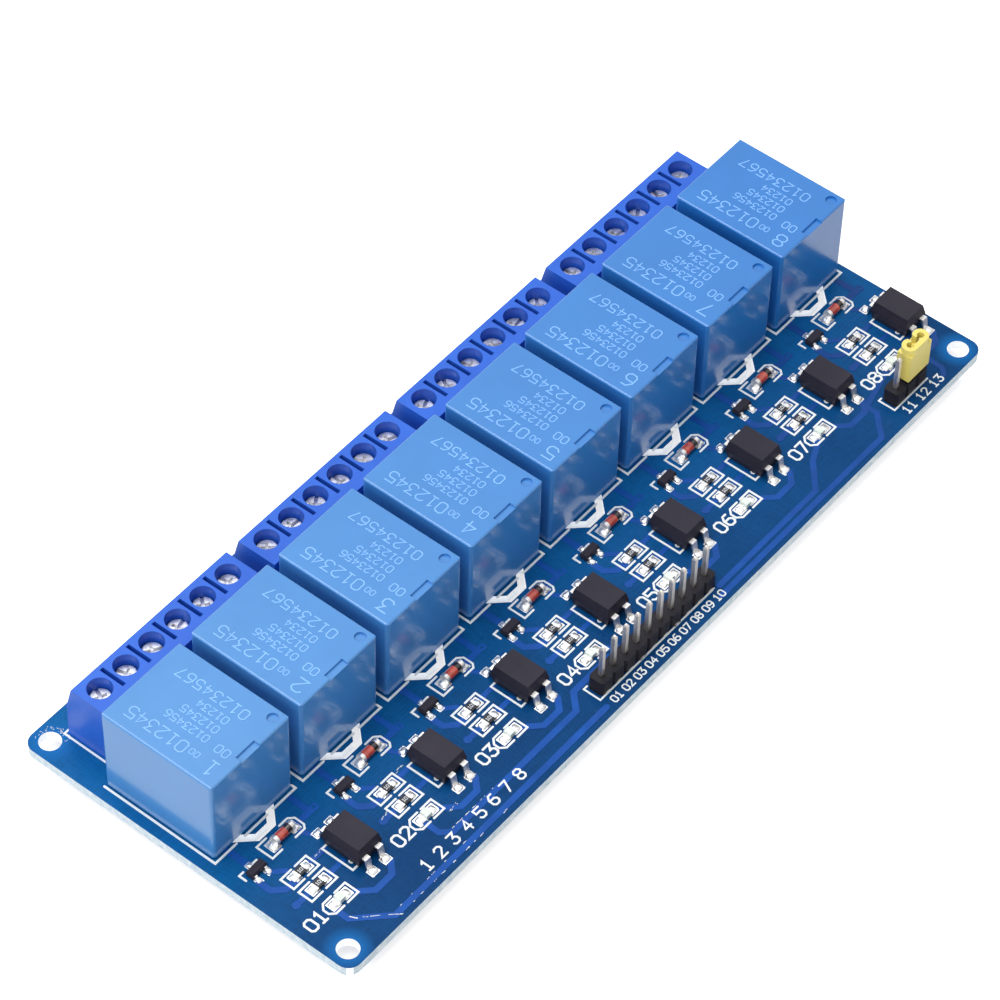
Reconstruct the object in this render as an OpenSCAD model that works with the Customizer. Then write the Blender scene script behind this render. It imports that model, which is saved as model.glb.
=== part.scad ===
// Eight-channel relay module board.
// X runs along the board from channel 1 to channel 8, Y from the control headers
// to the screw terminals, Z up. Z = 0 is the level of the clipped pin tips.

/* [Board] */
// Thickness of the circuit board
board_t = 1.6; // [1.2:0.1:2.4]
// Radius of the board's corners
board_corner_r = 2; // [1:0.25:2.5]
// Bare board beside the first relay
margin_first = 2.2; // [1:0.1:6]
// Bare board beside the last relay
margin_last = 1.5; // [1:0.1:6]
// Least bare board beside the rows of screw terminals
margin_block = 5.2; // [5:0.1:8]
// Bare board behind the screw terminals
margin_rear = 3.7; // [2:0.1:8]
// Diameter of the mounting holes
hole_d = 3.2; // [2.5:0.1:3.6]
// Distance of the mounting holes from both edges
hole_inset = 2.7; // [2.5:0.1:3.4]
// Length of the clipped pins below the board
pin_tail = 2; // [1.6:0.1:3]
// Diameter of a drilled pin hole for a relay or a terminal
drill_d = 1.5; // [1.4:0.05:1.8]
// Diameter of a drilled pin hole for a header
header_drill_d = 1.05; // [1:0.05:1.3]

/* [Rows in front of the relays] */
// From the board's front edge to the header pins
header_inset = 4.2; // [3:0.1:6]
// From the header pins to the indicator lights
header_to_led = 4.35; // [3.6:0.05:7]
// From the indicator lights to the front resistors
led_to_resistor = 3.6; // [2.4:0.1:5]
// From the front resistors to the rear resistors
resistor_spacing = 3.1; // [2:0.1:5]
// From the rear resistors to the transistors
resistor_to_transistor = 4.45; // [3.4:0.05:6]
// From the transistors to the relays
transistor_to_relay = 5.35; // [3.4:0.05:7]
// From the middle of a diode to its relay
diode_to_relay = 4.3; // [3.8:0.1:5]
// From the middle of an optocoupler to its relay
opto_to_relay = 12.25; // [11:0.25:13.5]

/* [Places across one channel] */
// Transistor, from the middle of its channel
transistor_x = -5.55; // [-6:0.05:-5]
// Resistors and light, from the middle of their channel
resistor_x = -2; // [-2.5:0.05:-1.5]
// Diode, from the middle of its channel
diode_x = 0.85; // [0:0.05:1.5]
// Optocoupler, from the middle of its channel
opto_x = 5.4; // [5:0.05:5.8]

/* [Relay] */
// Width of a relay, along the board
relay_w = 15.4; // [15:0.1:17]
// Length of a relay, across the board
relay_l = 19.15; // [18.8:0.05:21]
// Height of a relay above the board
relay_h = 15.3; // [15:0.1:18]
// Gap between neighbouring relays
relay_gap = 2.07; // [1:0.01:4]
// Wall of the cover
cover_wall = 0.8; // [0.6:0.05:1]
// Radius of the cover's upright edges
cover_edge_r = 0.5; // [0.3:0.1:1.2]
// Radius of the cover's top edges
cover_top_r = 0.3; // [0.2:0.1:0.6]
// Diameter of the moulding dimple in the cover
dimple_d = 1.7; // [1.2:0.1:2.2]
// Depth of the dimple and of the gate notch in the cover
dimple_depth = 0.35; // [0.2:0.05:0.5]
// Width of the gate notch in the cover's front edge
notch_w = 3.6; // [2:0.1:5]
// Depth of the gate notch from the cover's front face
notch_l = 1.05; // [0.6:0.05:1.4]
// Height of the base's feet, which lift the relay off the board
relay_standoff = 0.25; // [0.15:0.05:0.5]
// Thickness of the relay's base
base_t = 2; // [1.5:0.1:2.6]
// Clearance of the base inside the cover
base_clear = 0.1; // [0.05:0.01:0.2]

/* [Relay pins] */
// From the relay's front to the common pin
common_inset = 2.4; // [2:0.05:3]
// From the common pin to the coil pins
coil_pin_step = 2; // [1.8:0.05:2.2]
// From the relay's rear to the contact pins
contact_inset = 2.55; // [2:0.05:3]
// From the relay's sides to the paired pins
pair_inset = 1.7; // [1.6:0.02:2]
// Width of a contact or common pin
blade_w = 1; // [0.8:0.05:1.1]
// Thickness of a contact or common pin
blade_t = 0.4; // [0.3:0.05:0.5]
// Side of a square coil pin
coil_pin_s = 0.6; // [0.5:0.05:0.8]
// Clearance round a pin where it passes plastic
pin_clear = 0.05; // [0.02:0.01:0.08]

/* [Relay mechanism] */
// Thickness of the yoke's iron
yoke_t = 1.1; // [0.9:0.05:1.2]
// Width of the yoke and of the armature
yoke_w = 8; // [7:0.1:8.6]
// Diameter of the core
core_d = 3; // [2.6:0.1:3.4]
// Diameter of the core's pole head
pole_d = 6.6; // [5.6:0.1:7]
// Thickness of the core's pole head
pole_t = 0.6; // [0.4:0.05:0.8]
// Diameter of the bobbin's tube
bobbin_tube_d = 5; // [4.4:0.1:5.4]
// Side of the bobbin's flanges
flange_s = 9.8; // [9:0.1:10]
// Thickness of the bobbin's flanges
flange_t = 0.9; // [0.7:0.05:1.1]
// Diameter of the wound coil
coil_d = 9.2; // [8:0.1:9.4]
// Air between the upper contact and the cover's roof
roof_gap = 0.15; // [0.1:0.05:0.5]
// Gap between the pole head and the open armature
pole_gap = 0.55; // [0.45:0.05:0.6]
// Air left at each end of the armature's travel
end_gap = 0.05; // [0.04:0.01:0.08]
// Thickness of the armature
armature_t = 1; // [0.8:0.05:1.1]
// Thickness of the contact spring
leaf_t = 0.2; // [0.15:0.01:0.25]
// Thickness of the fixed contacts' arms
arm_t = 0.4; // [0.3:0.05:0.5]
// Width of the contact spring
leaf_w = 4.6; // [4:0.1:5]
// Diameter of the contact buttons
button_d = 2.2; // [1.8:0.1:2.4]
// Thickness of a contact button
button_t = 0.3; // [0.2:0.02:0.36]
// Largest turn of the armature in degrees
armature_turn = 3.1; // [2.6:0.05:3.1]

/* [Screw terminals] */
// Distance between neighbouring ways
way_pitch = 5.08; // [5:0.02:5.2]
// Ways in each block
ways = 6; // [2:1:6]
// Depth of a block, across the board
block_d = 7.6; // [7.4:0.1:9]
// Height of a block
block_h = 10.2; // [9.8:0.1:12]
// Plastic beyond the outermost ways
block_end = 0.2; // [0.1:0.05:0.6]
// Gap between neighbouring blocks
block_gap = 2.45; // [0.4:0.05:3]
// Gap between the relays and the blocks
block_to_relay = 1.9; // [0.5:0.1:4]
// Height at which the rear face starts to lean
lean_z = 6.2; // [6:0.1:7.5]
// How far the rear face leans in at the top
lean_y = 1.1; // [0.4:0.1:1.3]
// Diameter of the screw wells
well_d = 3.6; // [3.4:0.05:3.8]
// Depth of the screw heads below the top
screw_sink = 1.8; // [1:0.1:2]
// Length of the slits between the wells
slit_l = 4.15; // [3:0.05:5]
// Width of the slits between the wells
slit_w = 0.65; // [0.4:0.05:0.75]
// Depth of the slits between the wells
slit_depth = 3; // [1:0.1:3.2]
// Width of a wire entry
entry_w = 3.6; // [3:0.1:3.8]
// Diameter of the terminal screws
screw_d = 2.5; // [2:0.1:2.6]
// Clearance of the screw heads in their wells
head_clear = 0.15; // [0.1:0.01:0.2]
// Thickness of the screw heads
screw_head_t = 1.4; // [1:0.1:1.6]
// Plastic between neighbouring clamp cages
way_wall = 1.02; // [0.9:0.02:1.4]
// Plastic before and behind a clamp cage
block_wall = 1.02; // [0.9:0.02:1.1]
// Height of a clamp cage above the board at its foot
cage_low = 0.4; // [0.2:0.05:0.6]
// Space between the cage's roof and the screw head
cage_to_head = 0.6; // [0.4:0.05:1]
// Wall of a clamp cage
cage_wall = 0.6; // [0.5:0.05:0.8]
// Thickness of the cage's roof, which holds the screw
cage_roof = 1.2; // [1:0.05:1.4]
// Clearance round a clamp cage
cage_clear = 0.08; // [0.05:0.01:0.1]
// Side of a terminal's solder pin
terminal_pin_s = 0.9; // [0.7:0.05:1]

/* [Headers and jumper] */
// Distance between header pins
pin_pitch = 2.54; // [2.5:0.01:2.6]
// Side of a square header pin
pin_s = 0.64; // [0.5:0.02:0.7]
// Height of the header's plastic
header_h = 2.54; // [2.2:0.02:2.8]
// Depth of the header's plastic
header_d = 2.5; // [2.3:0.05:2.6]
// Height of the header pins above the board
header_pin_h = 8.5; // [8.4:0.1:9]
// Length of the header pins below the board
header_tail = 1.4; // [1.2:0.1:1.8]
// Part of a pin below the board that the solder covers
solder_share = 0.7; // [0.5:0.05:0.8]
// How far the solder on the board reaches past its neck
solder_spread = 0.65; // [0.4:0.05:0.75]
// Thickness of the solder at the neck, outside the corner of the pin
solder_neck = 0.1; // [0.08:0.02:0.2]
// Ways of the input header
input_ways = 10; // [2:1:10]
// First pin of the input header, from the board's middle
input_header_x = -13.7; // [-20:0.1:0]
// Last pin of the power header, from the board's end
power_header_inset = 11.4; // [9:0.1:14]
// Gap below the jumper cap
jumper_gap = 0.6; // [0.1:0.1:1]
// Height of the jumper cap
jumper_h = 6.1; // [6:0.1:6.4]
// Depth of the jumper cap
jumper_d = 2.44; // [2.3:0.02:2.5]
// Wall of the jumper cap
jumper_wall = 0.5; // [0.4:0.02:0.52]

/* [Small parts] */
// Width of an optocoupler, along the board
opto_w = 4.6; // [4.4:0.05:4.8]
// Length of an optocoupler, across the board
opto_l = 6.5; // [6:0.1:7]
// Height of an optocoupler above the board
opto_h = 3.6; // [3:0.1:4]
// Span of an optocoupler's leads
opto_span = 9.8; // [9.2:0.1:10.2]
// Width of a transistor
sot_w = 2.9; // [2.6:0.05:3]
// Length of a transistor without its leads
sot_l = 1.3; // [1.2:0.05:1.5]
// Height of a transistor
sot_h = 1.1; // [0.9:0.05:1.2]
// Length of a diode
diode_l = 3.6; // [3.3:0.05:3.8]
// Diameter of a diode's glass
diode_d = 1.4; // [1.2:0.05:1.5]
// Length of a resistor or a light
chip_l = 2; // [1.8:0.05:2.1]
// Width of a resistor or a light
chip_w = 1.25; // [1:0.05:1.4]
// Height of a resistor
resistor_h = 0.5; // [0.4:0.05:0.6]
// Height of a light
led_h = 0.8; // [0.7:0.05:1]
// Width of the isolation slots
slot_w = 1.15; // [0.8:0.05:1.4]

/* [Hidden] */
$fn = 48;
channels = 8;
blocks = 4;
power_ways = 3;

// the board's outline follows from the rows that it carries
relay_pitch = relay_w + relay_gap;
relay_row_l = channels * relay_w + (channels - 1) * relay_gap;
block_l = ways * way_pitch + 2 * block_end;
block_row_l = blocks * block_l + (blocks - 1) * block_gap;
board_l = max(relay_row_l + margin_first + margin_last, block_row_l + 2 * margin_block);
board_w = header_inset + header_to_led + led_to_resistor + resistor_spacing
    + resistor_to_transistor + transistor_to_relay + relay_l + block_to_relay
    + block_d + margin_rear;
top_z = pin_tail + board_t;

// rows, from the front edge to the rear
header_y = -board_w / 2 + header_inset;
led_y = header_y + header_to_led;
front_resistor_y = led_y + led_to_resistor;
rear_resistor_y = front_resistor_y + resistor_spacing;
transistor_y = rear_resistor_y + resistor_to_transistor;
relay_front_y = transistor_y + transistor_to_relay;
relay_y = relay_front_y + relay_l / 2;
diode_y = relay_front_y - diode_to_relay;
opto_y = relay_front_y - opto_to_relay;
block_y = relay_front_y + relay_l + block_to_relay + block_d / 2;
power_header_x = board_l / 2 - power_header_inset - (power_ways - 1) * pin_pitch;

// relay pins, from the middle of the relay
common_y = -relay_l / 2 + common_inset;
coil_y = common_y + coil_pin_step;
contact_y = relay_l / 2 - contact_inset;
pin_half_span = relay_w / 2 - pair_inset;

// heights inside a relay, from the board up; the coil fills what the rest leaves
contact_stack = leaf_t + 2 * button_t + end_gap + arm_t + roof_gap;
base_top = relay_standoff + base_t;
flange_low = base_top + yoke_t;
coil_low = flange_low + flange_t;
coil_high = relay_h - cover_wall - contact_stack - armature_t - pole_gap - pole_t - flange_t;
pole_low = coil_high + flange_t;
pole_high = pole_low + pole_t;
armature_low = pole_high + pole_gap;
leaf_low = armature_low + armature_t;
leaf_high = leaf_low + leaf_t;
leg_high = armature_low - end_gap;

// depths inside a relay, from its middle
leg_front = common_y + blade_t / 2;
leg_rear = leg_front + yoke_t;
hinge_y = (leg_front + leg_rear) / 2;
bobbin_front = leg_rear + 0.2;
core_y = bobbin_front + flange_s / 2;
armature_rear = core_y + pole_d / 2 + 0.7;
button_y = contact_y - 0.45;
leaf_tip = button_y + button_d / 2 + 0.3;
tail_y = leg_front - blade_t;

// the moving button sinks by this much at the end of its travel
button_drop = (button_y + button_d / 2 - hinge_y) * sin(armature_turn);
closed_contact_low = leaf_high + button_t + end_gap;
open_contact_high = leaf_low - button_t - button_drop - end_gap;

// the slot runs round the pad of the common pin
slot_half = 3.6;
slot_nose_half = 1.4;
slot_path = [
    [-slot_half, 4.2], [-slot_half, 0.45], [-slot_nose_half, -1.85],
    [slot_nose_half, -1.85], [slot_half, 0.45], [slot_half, 4.2]
];

// heights in a screw terminal
head_high = block_h - screw_sink;
head_low = head_high - screw_head_t;
cage_top = head_low - cage_to_head;
cage_h = cage_top - cage_low;
pocket_top = cage_top + 0.2;
entry_h = cage_h - cage_wall - cage_roof - 0.2;
screw_head_d = well_d - 2 * head_clear;
pocket_w = way_pitch - way_wall;
pocket_l = block_d - 2 * block_wall;
cage_w = pocket_w - 2 * cage_clear;
cage_l = pocket_l - 2 * cage_clear;
guard_t = 0.4;
bar_t = 0.5;
guard_high = cage_top - cage_roof - 0.3;

// the jumper cap sits on the last two pins of the power header
jumper_x = power_header_x + 1.5 * pin_pitch;
jumper_low = header_h + jumper_gap;
jumper_l = pin_pitch + jumper_d;
clip_low = 0.4;
clip_gap = 0.05;
sleeve_s = jumper_d - 2 * jumper_wall - 2 * clip_gap;
sleeve_bore = pin_s + 0.1;
sleeve_h = 3.6;

BOARD_BLUE = [0.03, 0.25, 0.5];
RELAY_BLUE = [0.28, 0.55, 0.92];
BASE_BLUE = [0.12, 0.3, 0.66];
TERMINAL_BLUE = [0.18, 0.36, 0.85];
IRON = [0.62, 0.62, 0.64];
TIN = [0.8, 0.8, 0.82];
COPPER = [0.75, 0.42, 0.24];
BRONZE = [0.82, 0.62, 0.36];
BLACK = [0.14, 0.13, 0.16];
SOLDER = [0.86, 0.87, 0.88];

function relay_x(n) = -board_l / 2 + margin_first + relay_w / 2 + (n - 1) * relay_pitch
    + (board_l - relay_row_l - margin_first - margin_last) / 2;
function block_x(n) = (n - (blocks + 1) / 2) * (block_l + block_gap);
function way_x(k) = (k - (ways - 1) / 2) * way_pitch;
// angle at which a terminal screw was left
function screw_turn(n, k) = (n * 67 + k * 41) % 180;

// ---- helpers ----

// a box centred in X and Y that stands on z
module post(size, z) {
    translate([-size.x / 2, -size.y / 2, z]) cube(size);
}

// a rectangle with round corners, centred
module round_rect(w, l, r) {
    square([w - 2 * r, l], center = true);
    square([w, l - 2 * r], center = true);
    for (x = [-1, 1], y = [-1, 1]) {
        translate([x * (w / 2 - r), y * (l / 2 - r)]) circle(r);
    }
}

// the side view of a cover whose top edges are round
module arched_side(w, h, r) {
    translate([-w / 2, 0]) square([w, h - r]);
    translate([-w / 2 + r, 0]) square([w - 2 * r, h]);
    for (x = [-1, 1]) translate([x * (w / 2 - r), h - r]) circle(r);
}

// the points beside a path, at a distance to its left, with mitred corners
function beside(path, d) = [for (i = [0:len(path) - 1]) let (
    last = len(path) - 1,
    into = path[max(i, 1)] - path[max(i, 1) - 1],
    away = path[min(i + 1, last)] - path[min(i + 1, last) - 1],
    a = into / norm(into),
    b = away / norm(away)
) path[i] + [-a.y - b.y, a.x + b.x] * d / (1 + a * b)];

// a path given a width
module ribbon(path, w) {
    left = beside(path, w / 2);
    right = beside(path, -w / 2);
    polygon(concat(left, [for (i = [len(right) - 1:-1:0]) right[i]]));
}

// a strip bent along a path in the YZ plane
module bent_strip(path, t, w) {
    rotate([90, 0, 90]) linear_extrude(w, center = true) ribbon(path, t);
}

module each_relay() {
    for (n = [1:channels]) translate([relay_x(n), relay_y, top_z]) children();
}

module each_channel(x, y) {
    for (n = [1:channels]) translate([relay_x(n) + x, y, top_z]) children();
}

module each_way() {
    for (n = [1:blocks], k = [0:ways - 1]) {
        translate([block_x(n) + way_x(k), block_y, top_z]) children();
    }
}

module each_paired_pin(y) {
    for (x = [-1, 1]) translate([x * pin_half_span, y, 0]) children();
}

// a straight square pin with tapered tips
module square_pin(s, low, high) {
    tip = s / 2;
    side = [
        [-s / 2, low + tip], [-s / 4, low], [s / 4, low], [s / 2, low + tip],
        [s / 2, high - tip], [s / 4, high], [-s / 4, high], [-s / 2, high - tip]
    ];
    intersection() {
        rotate([90, 0, 0]) linear_extrude(s + 2, center = true) polygon(side);
        rotate([90, 0, 90]) linear_extrude(s + 2, center = true) polygon(side);
    }
}

// ---- circuit board ----

module slot_cut() {
    linear_extrude(board_t + 2) ribbon(slot_path, slot_w);
}

module circuit_board() {
    color(BOARD_BLUE) difference() {
        translate([0, 0, pin_tail])
            linear_extrude(board_t) round_rect(board_l, board_w, board_corner_r);
        translate([0, 0, pin_tail - 1]) {
            for (x = [-1, 1], y = [-1, 1]) {
                translate([x * (board_l / 2 - hole_inset), y * (board_w / 2 - hole_inset), 0])
                    cylinder(d = hole_d, h = board_t + 2);
            }
            for (n = [1:channels]) {
                translate([relay_x(n), relay_front_y, 0]) slot_cut();
                translate([relay_x(n), relay_y, 0]) {
                    translate([0, common_y, 0]) cylinder(d = drill_d, h = board_t + 2);
                    each_paired_pin(coil_y) cylinder(d = drill_d, h = board_t + 2);
                    each_paired_pin(contact_y) cylinder(d = drill_d, h = board_t + 2);
                }
            }
            for (n = [1:blocks], k = [0:ways - 1]) {
                translate([block_x(n) + way_x(k), block_y, 0])
                    cylinder(d = drill_d, h = board_t + 2);
            }
            for (k = [0:input_ways - 1]) {
                translate([input_header_x + k * pin_pitch, header_y, 0])
                    cylinder(d = header_drill_d, h = board_t + 2);
            }
            for (k = [0:power_ways - 1]) {
                translate([power_header_x + k * pin_pitch, header_y, 0])
                    cylinder(d = header_drill_d, h = board_t + 2);
            }
        }
    }
}

// ---- relay ----

module relay_cover(n) {
    inner_r = max(cover_edge_r - cover_wall, 0.1);
    color(RELAY_BLUE) translate([relay_x(n), relay_y, top_z]) difference() {
        intersection() {
            translate([0, 0, relay_standoff])
                linear_extrude(relay_h) round_rect(relay_w, relay_l, cover_edge_r);
            rotate([90, 0, 0]) linear_extrude(relay_l + 2, center = true)
                arched_side(relay_w, relay_h, cover_top_r);
            rotate([90, 0, 90]) linear_extrude(relay_w + 2, center = true)
                arched_side(relay_l, relay_h, cover_top_r);
        }
        linear_extrude(relay_h - cover_wall)
            round_rect(relay_w - 2 * cover_wall, relay_l - 2 * cover_wall, inner_r);
        translate([relay_w / 2 - 1.6, -relay_l / 2 + 1.55, relay_h - dimple_depth])
            cylinder(d = dimple_d, h = 1);
        translate([-notch_w / 2, -relay_l / 2 - 1, relay_h - dimple_depth])
            cube([notch_w, notch_l + 1, 1]);
    }
}

module relay_base() {
    w = relay_w - 2 * (cover_wall + base_clear);
    l = relay_l - 2 * (cover_wall + base_clear);
    hole = 2 * pin_clear;
    difference() {
        union() {
            post([w, l, base_t], relay_standoff);
            for (x = [-1, 1], y = [-1, 1]) {
                translate([x * (w / 2 - 1), y * (l / 2 - 2.2), 0])
                    post([1.2, 1.2, relay_standoff + 0.1], 0);
            }
        }
        translate([0, common_y, 0]) post([blade_w + hole, blade_t + hole, base_top + 2], -1);
        each_paired_pin(coil_y) post([coil_pin_s + hole, coil_pin_s + hole, base_top + 2], -1);
        each_paired_pin(contact_y) post([blade_w + hole, blade_t + hole, base_top + 2], -1);
        // relief between the contact pins, which lengthens the path across the base
        translate([0, contact_y, 0]) post([7, 1.6, 0.8], base_top - 0.7);
    }
}

module relay_bases() {
    color(BASE_BLUE) each_relay() relay_base();
}

module relay_bobbin() {
    ear_l = 2.4;
    difference() {
        union() {
            translate([0, core_y, 0]) {
                post([flange_s, flange_s, flange_t], flange_low);
                post([flange_s, flange_s, flange_t], coil_high);
                translate([0, 0, flange_low])
                    cylinder(d = bobbin_tube_d, h = pole_low - flange_low);
            }
            translate([0, max(coil_y, bobbin_front + ear_l / 2), 0])
                post([2 * pin_half_span + coil_pin_s + 0.6, ear_l, flange_t], flange_low);
        }
        translate([0, core_y, flange_low - 1]) cylinder(d = core_d, h = relay_h);
        each_paired_pin(coil_y)
            post([coil_pin_s + 2 * pin_clear, coil_pin_s + 2 * pin_clear, relay_h], 0);
    }
}

module relay_bobbins() {
    color("ivory") each_relay() relay_bobbin();
}

module relay_coils() {
    wire_bulge = 0.1;
    color(COPPER) each_relay() translate([0, core_y, 0]) rotate_extrude() polygon([
        [bobbin_tube_d / 2, coil_low], [coil_d / 2 - wire_bulge, coil_low],
        [coil_d / 2, coil_low + 0.4], [coil_d / 2, coil_high - 0.4],
        [coil_d / 2 - wire_bulge, coil_high], [bobbin_tube_d / 2, coil_high]
    ]);
}

module relay_yoke() {
    difference() {
        union() {
            translate([-yoke_w / 2, leg_front, base_top])
                cube([yoke_w, core_y + core_d - leg_front, yoke_t]);
            translate([-yoke_w / 2, leg_front, base_top]) cube([yoke_w, yoke_t, leg_high - base_top]);
        }
        translate([0, core_y, base_top - 1]) cylinder(d = core_d, h = yoke_t + 2);
    }
}

module relay_yokes() {
    color(IRON) each_relay() relay_yoke();
}

module relay_cores() {
    color(IRON) each_relay() translate([0, core_y, 0]) {
        translate([0, 0, base_top]) cylinder(d = core_d, h = pole_low - base_top + 0.1);
        translate([0, 0, pole_low]) cylinder(d = pole_d, h = pole_t);
    }
}

// the armature carries the contact spring, which is riveted on and tipped with
// a contact button on each side
module armature(n) {
    color(IRON) translate([relay_x(n), relay_y, top_z]) {
        difference() {
            union() {
                translate([-yoke_w / 2, leg_front, armature_low])
                    cube([yoke_w, armature_rear - leg_front, armature_t]);
                translate([-leaf_w / 2, tail_y - leaf_t, leaf_low])
                    cube([leaf_w, leaf_tip - tail_y + leaf_t, leaf_t]);
                translate([-leaf_w / 2, tail_y - leaf_t, armature_low])
                    cube([leaf_w, leaf_t, armature_t + leaf_t]);
                for (y = [hinge_y + 3, core_y + 1.5]) {
                    translate([0, y, leaf_low]) cylinder(d = 1.5, h = leaf_t + 0.3);
                }
                translate([0, button_y, leaf_low - button_t])
                    cylinder(d = button_d, h = leaf_t + 2 * button_t);
            }
            // the spring narrows towards its tip
            for (x = [-1, 1]) {
                translate([x * leaf_w / 2, leaf_tip, leaf_low - 1])
                    rotate([0, 0, x * 14])
                        post([1.4, 2 * (leaf_tip - armature_rear - 0.6), 4], 0);
            }
        }
    }
}

module common_terminals() {
    color(TIN) each_relay() {
        translate([0, common_y, 0])
            post([blade_w, blade_t, base_top + pin_tail + board_t], -pin_tail - board_t);
        translate([0, common_y, 0]) post([leaf_w, blade_t, leg_high - base_top - 1], base_top);
    }
}

module coil_terminals() {
    color(TIN) each_relay() each_paired_pin(coil_y)
        post([coil_pin_s, coil_pin_s, coil_low + 1.2 + pin_tail + board_t], -pin_tail - board_t);
}

// a fixed contact: a blade up from the board, an arm to the middle and a button
module fixed_contact(side, arm_low, button_low) {
    translate([side * pin_half_span, contact_y, 0])
        post([blade_w, blade_t, arm_low + arm_t + pin_tail + board_t], -pin_tail - board_t);
    translate([side > 0 ? -1.3 : -pin_half_span - blade_w / 2, button_y - 0.9, arm_low])
        cube([pin_half_span + blade_w / 2 + 1.3, contact_y + blade_t / 2 - button_y + 0.9, arm_t]);
    translate([0, button_y, button_low]) cylinder(d = button_d, h = button_t);
}

module open_contacts() {
    color(BRONZE) each_relay()
        fixed_contact(-1, open_contact_high - button_t - arm_t, open_contact_high - button_t);
}

module closed_contacts() {
    color(BRONZE) each_relay()
        fixed_contact(1, closed_contact_low + button_t, closed_contact_low);
}

// ---- screw terminals ----

module terminal_block(n) {
    side = [
        [-block_d / 2, 0], [block_d / 2, 0], [block_d / 2 - 0.1, lean_z],
        [block_d / 2 - lean_y, block_h], [-block_d / 2, block_h]
    ];
    color(TERMINAL_BLUE) translate([block_x(n), block_y, top_z]) difference() {
        rotate([90, 0, 90]) linear_extrude(block_l, center = true) polygon(side);
        for (k = [0:ways - 1]) translate([way_x(k), 0, 0]) {
            post([pocket_w, pocket_l, pocket_top + 1], -1);
            translate([0, 0, pocket_top - 0.5]) cylinder(d = well_d, h = block_h);
            // wire entry with its funnel
            translate([0, block_d / 2, 0]) {
                post([entry_w, block_d / 2, entry_h], cage_low + cage_wall);
                post([entry_w + 0.6, 0.9, entry_h + 0.8], cage_low + cage_wall - 0.4);
            }
        }
        for (k = [0:ways - 2]) {
            translate([way_x(k) + way_pitch / 2, 0, 0])
                post([slit_w, slit_l, slit_depth + 1], block_h - slit_depth);
        }
    }
}

// slotted heads with a short cross recess, left at whatever angle they were last turned to
module terminal_screws() {
    slot = 0.55;
    cross = [0.45, 1.9, 0.5];
    color(TIN) for (n = [1:blocks], k = [0:ways - 1]) {
        translate([block_x(n) + way_x(k), block_y, top_z]) rotate([0, 0, screw_turn(n, k)])
            difference() {
                union() {
                    translate([0, 0, head_low])
                        cylinder(d = screw_head_d, h = screw_head_t - 0.3);
                    translate([0, 0, head_high - 0.3])
                        cylinder(d1 = screw_head_d, d2 = screw_head_d - 0.5, h = 0.3);
                    translate([0, 0, guard_high])
                        cylinder(d = screw_d, h = head_low - guard_high + 0.1);
                }
                post([screw_head_d + 1, slot, 1.5], head_high - 0.6);
                post([cross.x, cross.y, 1.5], head_high - cross.z);
            }
    }
}

// a bent cage; the screw turns in its doubled roof
module terminal_cages() {
    pin_hole = terminal_pin_s + 2 * pin_clear;
    color(TIN) each_way() difference() {
        post([cage_w, cage_l, cage_h], cage_low);
        post([cage_w - 2 * cage_wall, cage_l + 2, cage_h - cage_wall - cage_roof],
            cage_low + cage_wall);
        translate([0, 0, guard_high]) cylinder(d = screw_d, h = cage_h);
        post([pin_hole, pin_hole, cage_low + 1], 0);
    }
}

// a solder pin with the bar that the wire is pressed on, which lies in the cage
module terminal_pins() {
    color(TIN) each_way() {
        post([terminal_pin_s, terminal_pin_s, cage_low + cage_wall + 0.1 + pin_tail + board_t],
            -pin_tail - board_t);
        post([cage_w - 2 * cage_wall - 0.2, cage_l - 0.2, bar_t], cage_low + cage_wall);
    }
}

// a spring-steel leaf between the screw and the wire, hooked over the cage's end
module wire_guards() {
    w = cage_w - 2 * cage_wall - 0.2;
    color(IRON) each_way() bent_strip([
        [-cage_l / 2 + 0.2, guard_high - guard_t / 2], [1.3, guard_high - guard_t / 2],
        [cage_l / 2 - 0.2, guard_high - guard_t - 0.5]
    ], guard_t, w);
}

// ---- headers and jumper ----

// header plastic with nicked corners between its ways
module header_body(count) {
    nick = 0.35;
    half = header_d / 2;
    front = [for (k = [0:count - 1]) each [
        [(k - 0.5) * pin_pitch, -half + nick], [(k - 0.5) * pin_pitch + nick, -half],
        [(k + 0.5) * pin_pitch - nick, -half]
    ]];
    rear = [for (p = front) [(count - 1) * pin_pitch - p.x, -p.y]];
    difference() {
        linear_extrude(header_h) polygon(concat(
            front, [[(count - 0.5) * pin_pitch, -half + nick]],
            rear, [[-0.5 * pin_pitch, half - nick]]
        ));
        for (k = [0:count - 1]) translate([k * pin_pitch, 0, 0])
            post([pin_s + 2 * pin_clear, pin_s + 2 * pin_clear, header_h + 2], -1);
    }
}

module header_pins(count) {
    for (k = [0:count - 1]) translate([k * pin_pitch, 0, 0])
        square_pin(pin_s, -header_tail - board_t, header_pin_h);
}

module input_header() {
    color(BLACK) translate([input_header_x, header_y, top_z]) header_body(input_ways);
}

module input_pins() {
    color(TIN) translate([input_header_x, header_y, top_z]) header_pins(input_ways);
}

module power_header() {
    color(BLACK) translate([power_header_x, header_y, top_z]) header_body(power_ways);
}

module power_pins() {
    color(TIN) translate([power_header_x, header_y, top_z]) header_pins(power_ways);
}

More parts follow.
